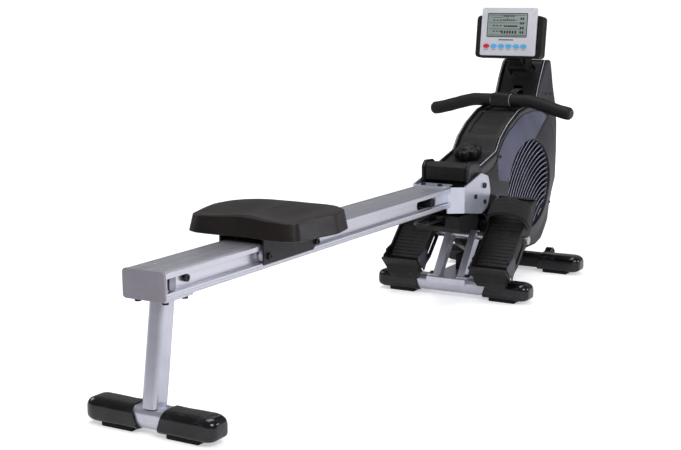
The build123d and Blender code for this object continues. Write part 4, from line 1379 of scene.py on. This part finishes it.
@dataclass
class Pedal:
    """One rocking pedal's added parts: tread ribs, two webbing layers, their stitches and the heel plates,
    whose lighter grey is a painted highlight.
    """

    paint: Paintbox
    side: Side
    axle: tuple[float, float] = (1465.0, 174.0)
    hub: float = 141.0
    angle: float = 45.5
    y: float = 141.0
    half: float = 58.0

    @property
    def body(self) -> str:
        """The CAD body this pedal is."""
        return f"{self.side.word}_pedal"

    def on_sole(self, along_sole: Array, across: Array, out: Array) -> Array:
        """Points in metres for places on the pedal.

        Args:
            along_sole: mm from heel to toe.
            across: mm from the pedal's middle, outwards.
            out: mm out of the sole.

        Returns:
            The points.
        """
        a = math.radians(self.angle)
        u, v, w = np.broadcast_arrays(along_sole, across, out)
        station = self.axle[0] + (u - self.hub) * math.cos(a) - w * math.sin(a)
        height = self.axle[1] + (u - self.hub) * math.sin(a) + w * math.cos(a)
        return at(station, self.side.value * (self.y + v), height)

    def arch(self, grow: float) -> Array:
        """The strap's line from one side wall over the foot to the other, as (across, out) pairs.

        Straight up each wall, then half an ellipse. grow moves the whole line outwards.
        """
        turn = np.linspace(0, math.pi, 44)
        top = np.stack([(60.6 + grow) * np.cos(turn), 36 + (40.4 + grow) * np.sin(turn)], axis=-1)
        rise = np.linspace(10, 34, 8)
        first = np.stack([np.full(8, 60.6 + grow), rise], axis=-1)
        last = np.stack([np.full(8, -60.6 - grow), rise[::-1]], axis=-1)
        return np.concatenate([first, top, last])

    def webbing(self, name: str, start: float, width: float, grow: float, lean: float) -> Piece:
        """One layer of webbing over the arch, as a closed strip with rounded long edges.

        The strip's middle wanders a little along the sole as it climbs, and its crown sinks by a sine of
        the angle, so that no two layers lie quite alike.
        """
        line = self.arch(grow)
        count = len(line)
        share = np.linspace(0, 1, count)
        normal = square_to(unit(np.gradient(line, axis=0)))
        half = width / 2
        edge = np.array([(-half, 0.0), (-half + 0.5, 0.9), (-half + 3, 1.25), (-half / 2, 1.1), (0, 1.2),
                         (half / 2, 1.1), (half - 3, 1.25), (half - 0.5, 0.9), (half, 0.0),
                         (half - 0.5, -0.9), (half - 3, -1.25), (0, -1.1), (-half + 3, -1.25),
                         (-half + 0.5, -0.9)])
        wander = lean * np.sin(share * math.pi)
        sag = 0.9 * np.sin(share * math.pi * 5) * np.sin(share * math.pi)
        u = start + half + wander[:, None] + edge[None, :, 0]
        out = edge[None, :, 1] + sag[:, None] * 0.6
        v = line[:, 0][:, None] + normal[:, 0][:, None] * out
        w = line[:, 1][:, None] + normal[:, 1][:, None] * out
        return surface(name, with_poles(self.on_sole(u, v, w)), wrap=True, sharp_degrees=60)

    def straps(self) -> None:
        """The broad lower layer, the narrower one closed over it, and two rows of stitches."""
        word = self.side.word
        lower = self.webbing(f"toe_strap_{word}", 168, 62, -0.4, 3.0)
        self.paint.dress(lower, self.body, Palette.WEBBING, f"foot_strap_{word}")
        upper = self.webbing(f"toe_strap_over_{word}", 178, 42, 2.6, -3.0)
        self.paint.dress(upper, self.body, Palette.WEBBING)
        stitches = []
        for place in (170.6, 227.0):
            line = self.arch(1.2)[8:-8:2]
            for index, (v, w) in enumerate(line):
                centre = self.on_sole(place, v, w)
                axis = self.on_sole(place, v * 1.01, w + 0.5) - centre
                profile = np.array([(0, 0.4), (0.8, 0.2), (0.9, -0.2), (0, -0.4)]) * MM
                points = turned(profile, centre, axis, 6)
                stitches.append(surface(f"stitch_{place}_{index}", points, wrap=True))
        thread = joined(f"strap_stitches_{word}", stitches)
        settle(thread, 50)
        self.paint.dress(thread, self.body, Palette.PEDAL_GREY)

    def ribs(self) -> None:
        """The moulded tread: low rounded bars across the sole between heel and toe."""
        bars = []
        for u in np.arange(18, 262, 12.0):
            run = np.linspace(-50, 50, 12)
            height = 1.7 * np.array([0.0, 0.7, 1.0, 0.7, 0.0, -0.2])
            width = np.array([-2.6, -1.8, 0.0, 1.8, 2.6, 0.0])
            points = self.on_sole(u + width[None, :], run[:, None], 18.5 + height[None, :])
            bars.append(surface(f"rib_{u}", with_poles(points), wrap=True, sharp_degrees=60))
        tread = joined(f"tread_{self.side.word}", bars)
        settle(tread, 60)
        self.paint.dress(tread, self.body, Palette.PEDAL)

    def heel_plates(self) -> None:
        """Plates on the two faces of the heel's end in a lighter grey than the pedal: a painted highlight on
        faces turned towards the light.
        """
        corners = [(4, -10), (4, 46), (10, 50), (40, 38), (58, 34), (58, 20), (30, -6)]
        loop = rounded_loop(corners, [3, 3, 3, 8, 3, 8, 8], 5)
        middle = loop.mean(axis=0)
        for name, v in (("outer", self.half), ("inner", -self.half)):
            sign = 1 if v > 0 else -1
            rows = []
            for share, out in ((0.001, -0.5), (1, -0.5), (1, 0.5), (0.97, 0.9), (0.5, 0.95), (0.001, 0.95)):
                spot = middle + (loop - middle) * share
                rows.append(self.on_sole(spot[:, 0], v + sign * out, spot[:, 1]))
            plate = surface(f"heel_plate_{name}_{self.side.word}", np.stack(rows), wrap=True)
            self.paint.dress(plate, self.body, Palette.PEDAL_GREY)

    def build(self) -> None:
        """Build this pedal's pieces."""
        self.straps()
        self.ribs()
        self.heel_plates()


# ------------------------------------------------------------------ small parts


@dataclass
class Knob:
    """The lobed tension knob with a domed cap and an engraved ring."""

    paint: Paintbox
    place: tuple[float, float] = (1497.0, 406.0)
    tilt: float = 15.8
    reach: float = 41.0
    lobes: int = 6

    def build(self) -> None:
        """Build the knob as loops up its axis.

        Each radius is the reach less a smooth valley between lobes, rolled over at the top.
        """
        a = math.radians(self.tilt)
        axis = np.array([-math.sin(a), 0.0, math.cos(a)])
        side = np.array([math.cos(a), 0.0, math.sin(a)])
        across = np.array([0.0, 1.0, 0.0])
        turn = np.linspace(0, 2 * math.pi, 180, endpoint=False)
        lobe = (0.5 + 0.5 * np.cos(turn * self.lobes)) ** 0.6
        outer = self.reach - 7.5 * (1 - lobe)
        rows = []
        body = ((0.3, 0.93, 1), (1.2, 0.985, 1), (4, 1.0, 1), (19, 1.0, 1), (22.5, 0.985, 1), (25, 0.95, 1))
        shoulder = ((26.3, 0.89, 0.8), (26.6, 0.8, 0.4), (26.7, 0.72, 0), (27.4, 0.7, 0))
        cap = ((30, 0.68, 0), (32.6, 0.64, 0), (33.6, 0.58, 0), (33.4, 0.5, 0), (32.6, 0.46, 0),
               (32.6, 0.4, 0), (33.5, 0.36, 0), (33.8, 0.2, 0))
        for height, share, lobed in body + shoulder + cap:
            radius = (outer * lobed + self.reach * 0.93 * (1 - lobed)) * share
            ring = np.cos(turn)[:, None] * side + np.sin(turn)[:, None] * across
            middle = at(self.place[0], 0, self.place[1]) + height * MM * axis
            rows.append(middle + radius[:, None] * MM * ring)
        knob = surface("tension_dial", with_poles(np.stack(rows)), wrap=True, sharp_degrees=40)
        self.paint.dress(knob, "tension_knob", Palette.KNOB, "tension_knob")


@dataclass
class Feet:
    """The glossy end caps of the three foot bars, the two front bars, and the rear stops' faces."""

    paint: Paintbox
    bars: tuple[tuple[str, str, float, float], ...] = (
        ("rear", "rail", 0.0, 166.5), ("pedal", "frame", 1410.0, 244.0), ("front", "frame", 1856.0, 232.0),
    )
    length: float = 140.0
    stop_middle: tuple[float, float] = (14.0, 315.0)
    stop_half: tuple[float, float] = (10.5, 14.3)
    stop_layers: tuple[tuple[float, float], ...] = ((41.9, 1.0), (42.1, 1.0), (42.4, 0.99), (42.6, 0.96))

    def cap(self, name: str, body: str, station: float, end: float, side: Side, *replaced: str) -> Piece:
        """One cap: rounded sections along Y, with a slanted mouth, a slight waist and a full round nose.

        The section is a rounded rectangle 66 wide and 51 high whose lower corners are tighter. Towards the
        nose it shrinks as the cosine of an angle whose sine is the share of the nose's length.
        """
        loop = rounded_loop([(33, 9), (33, 60), (-33, 60), (-33, 9)], [12, 19, 19, 12], 9)
        middle = np.array([0.0, 30.0])
        mouth = end - self.length
        rows = []
        for place in np.concatenate([[0, 0.6, 2.0], np.linspace(6, 110, 14)]):
            share = 1.0 - 0.02 * math.exp(-((place - 40) / 25) ** 2) - (0.03 if place < 0.5 else 0)
            spot = middle + (loop - middle) * share
            slant = np.clip((spot[:, 1] - 21) / 39, 0, 1) * 14 * max(0.0, 1 - place / 60)
            rows.append((spot, mouth + place + slant))
        for turn in np.linspace(0, 88, 12):
            a = math.radians(turn)
            spot = middle + (loop - middle) * (0.42 + 0.58 * math.cos(a) ** 0.8)
            rows.append((spot, np.full(len(loop), end - 30 + 30 * math.sin(a))))
        points = np.stack([at(station + spot[:, 0], side.value * y, spot[:, 1]) for spot, y in rows])
        cap = surface(f"foot_cap_{name}_{side.word}", with_poles(points), wrap=True, sharp_degrees=50)
        return self.paint.dress(cap, body, Palette.CAP, *replaced)

    def tube(self, name: str, body: str, station: float, end: float, choice: Palette) -> Piece:
        """The oval-sided bar between two caps, as one closed rounded section carried along Y."""
        loop = rounded_loop([(28, 12), (28, 57), (-28, 57), (-28, 12)], [13, 15, 15, 13], 8)
        spans = np.linspace(-end + 24, end - 24, 24)
        points = np.stack([at(station + loop[:, 0], y, loop[:, 1]) for y in spans])
        tube = surface(f"foot_bar_{name}", with_poles(points), wrap=True)
        return self.paint.dress(tube, body, choice)

    def stop_face(self, side: Side) -> Piece:
        """The grey face over the rear stop in the rail's channel, a thin rounded plate."""
        middle = np.array(self.stop_middle)
        corners = np.array([(-1, -1), (1, -1), (1, 1), (-1, 1)]) * self.stop_half
        loop = rounded_loop(corners, [5] * 4, 4)
        rows = []
        for depth, share in self.stop_layers:
            spot = middle + loop * share
            rows.append(at(spot[:, 0], side.value * depth, spot[:, 1]))
        face = surface(f"stop_face_{side.word}", with_poles(np.stack(rows)), wrap=True)
        return self.paint.dress(face, "rail", Palette.STOP)

    def build(self) -> None:
        """Build the two front bars, the stops' faces and the six caps."""
        for side in Side:
            self.stop_face(side)
        silver = self.tube(*self.bars[1], Palette.SILVER_PAINT)
        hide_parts("front_stabilizer_tubes")
        self.tube(*self.bars[2], Palette.FRAME_BLACK)
        for name, body, station, end in self.bars:
            for side in Side:
                replaced = () if name == "pedal" else once(side, f"{name}_end_caps")
                self.cap(name, body, station, end, side, *replaced)


# ------------------------------------------------------------------ studio


@dataclass
class Studio:
    """The pale floor, the soft lights and the camera."""

    lens: float = 69.17
    place: tuple[float, float, float] = (-3.0334, -1.634, 0.894)
    target: tuple[float, float, float] = (-0.2636, 0.0, 0.3146)
    roll: float = -0.29
    floor_reach: float = 24.0
    lamps: tuple[tuple, ...] = (
        ("key", (-2.6, -2.4, 2.7), (0.1, 0, 0.3), (1.8, 1.2), 78),
        ("top", (0.1, 0.3, 3.2), (0.1, 0, 0), (3.2, 1.2), 52),
        ("right_strip", (1.2, -3.0, 1.3), (0.5, 0, 0.3), (1.6, 0.7), 34, "f2f4ff"),
        ("far", (-0.6, 3.2, 1.8), (0.3, 0, 0.3), (2.0, 1.0), 20, "f4f2ff"),
    )

    def camera(self) -> None:
        """Stand the camera behind the seat on the right, looking along the rail."""
        data = bpy.data.cameras.new("studio_camera")
        data.lens = self.lens
        data.sensor_width = 36
        data.clip_end = 60
        camera = bpy.data.objects.new("studio_camera", data)
        camera.location = self.place
        look = (Vector(self.target) - Vector(self.place)).to_track_quat("-Z", "Y")
        turn = Matrix.Rotation(math.radians(self.roll), 4, "Z")
        camera.rotation_euler = (look.to_matrix().to_4x4() @ turn).to_euler()
        bpy.context.scene.collection.objects.link(camera)
        bpy.context.scene.camera = camera

    def light(self, name: str, place: Sequence[float], aim: Sequence[float], size: tuple[float, float],
              power: float, colour: str = "ffffff") -> None:
        """Hang one rectangular soft light."""
        data = bpy.data.lights.new(name, "AREA")
        data.shape = "RECTANGLE"
        data.size, data.size_y = size
        data.energy = power
        data.color = linear(colour)[:3]
        lamp = bpy.data.objects.new(name, data)
        lamp.location = place
        lamp.rotation_euler = (Vector(aim) - Vector(place)).to_track_quat("-Z", "Y").to_euler()
        bpy.context.scene.collection.objects.link(lamp)

    def floor(self) -> None:
        """A wide pale floor whose glow grows with distance, so that it meets the surround unseen."""
        corners = self.floor_reach * np.array([(-1, -1, 0), (1, -1, 0), (1, 1, 0), (-1, 1, 0)], float)
        floor = piece_from_arrays("floor", corners, np.array([[0, 1, 2, 3]]))
        floor.location.z = -0.0004
        material = bpy.data.materials.new("pale_floor")
        material.use_nodes = True
        shader = material.node_tree.nodes["Principled BSDF"]
        shader.inputs["Base Color"].default_value = (0.93, 0.93, 0.935, 1)
        shader.inputs["Roughness"].default_value = 0.7
        shader.inputs["Specular IOR Level"].default_value = 0.1
        shader.inputs["Emission Color"].default_value = (1.0, 1.0, 1.0, 1)
        tree = material.node_tree
        spot = tree.nodes.new("ShaderNodeNewGeometry")
        away = tree.nodes.new("ShaderNodeVectorMath")
        away.operation = "LENGTH"
        tree.links.new(spot.outputs["Position"], away.inputs[0])
        glow = tree.nodes.new("ShaderNodeMapRange")
        glow.interpolation_type = "SMOOTHSTEP"
        for socket, value in (("From Min", 1.1), ("From Max", 4.0), ("To Min", 0.46), ("To Max", 1.0)):
            glow.inputs[socket].default_value = value
        tree.links.new(away.outputs["Value"], glow.inputs["Value"])
        path = tree.nodes.new("ShaderNodeLightPath")
        direct = math_node(tree, "MULTIPLY", path.outputs["Is Camera Ray"], 0.8)
        seen = math_node(tree, "ADD", direct, 0.2)
        strength = math_node(tree, "MULTIPLY", glow.outputs["Result"], seen)
        tree.links.new(strength, shader.inputs["Emission Strength"])
        floor.data.materials.append(material)

    def sky(self) -> None:
        """A white surround that is dimmer to the object than to the camera."""
        world = bpy.data.worlds.new("studio")
        world.use_nodes = True
        tree = world.node_tree
        back = tree.nodes["Background"]
        back.inputs["Color"].default_value = (0.97, 0.98, 1.0, 1)
        path = tree.nodes.new("ShaderNodeLightPath")
        direct = math_node(tree, "MULTIPLY", path.outputs["Is Camera Ray"], 0.84)
        strength = math_node(tree, "ADD", direct, 0.24)
        tree.links.new(strength, back.inputs["Strength"])
        bpy.context.scene.world = world

    def build(self) -> None:
        """Build the studio."""
        bpy.context.scene.view_settings.view_transform = "Standard"
        self.camera()
        self.floor()
        self.sky()
        for lamp in self.lamps:
            self.light(*lamp)


def main() -> None:
    """Dress the CAD nodes, build every sub-assembly in order and set the studio."""
    logging.basicConfig(level=logging.INFO, format="%(name)s: %(message)s")
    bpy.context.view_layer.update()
    paint = Paintbox()
    paint.dress_cad()
    parts = [Casing(paint), Seat(paint), Handle(paint), Console(paint), Pedal(paint, Side.RIGHT),
             Pedal(paint, Side.LEFT), Knob(paint), Feet(paint)]
    for part in parts:
        part.build()
        LOG.info("%s is built", type(part).__name__)
    Studio().build()


if __name__ == "__main__":
    main()
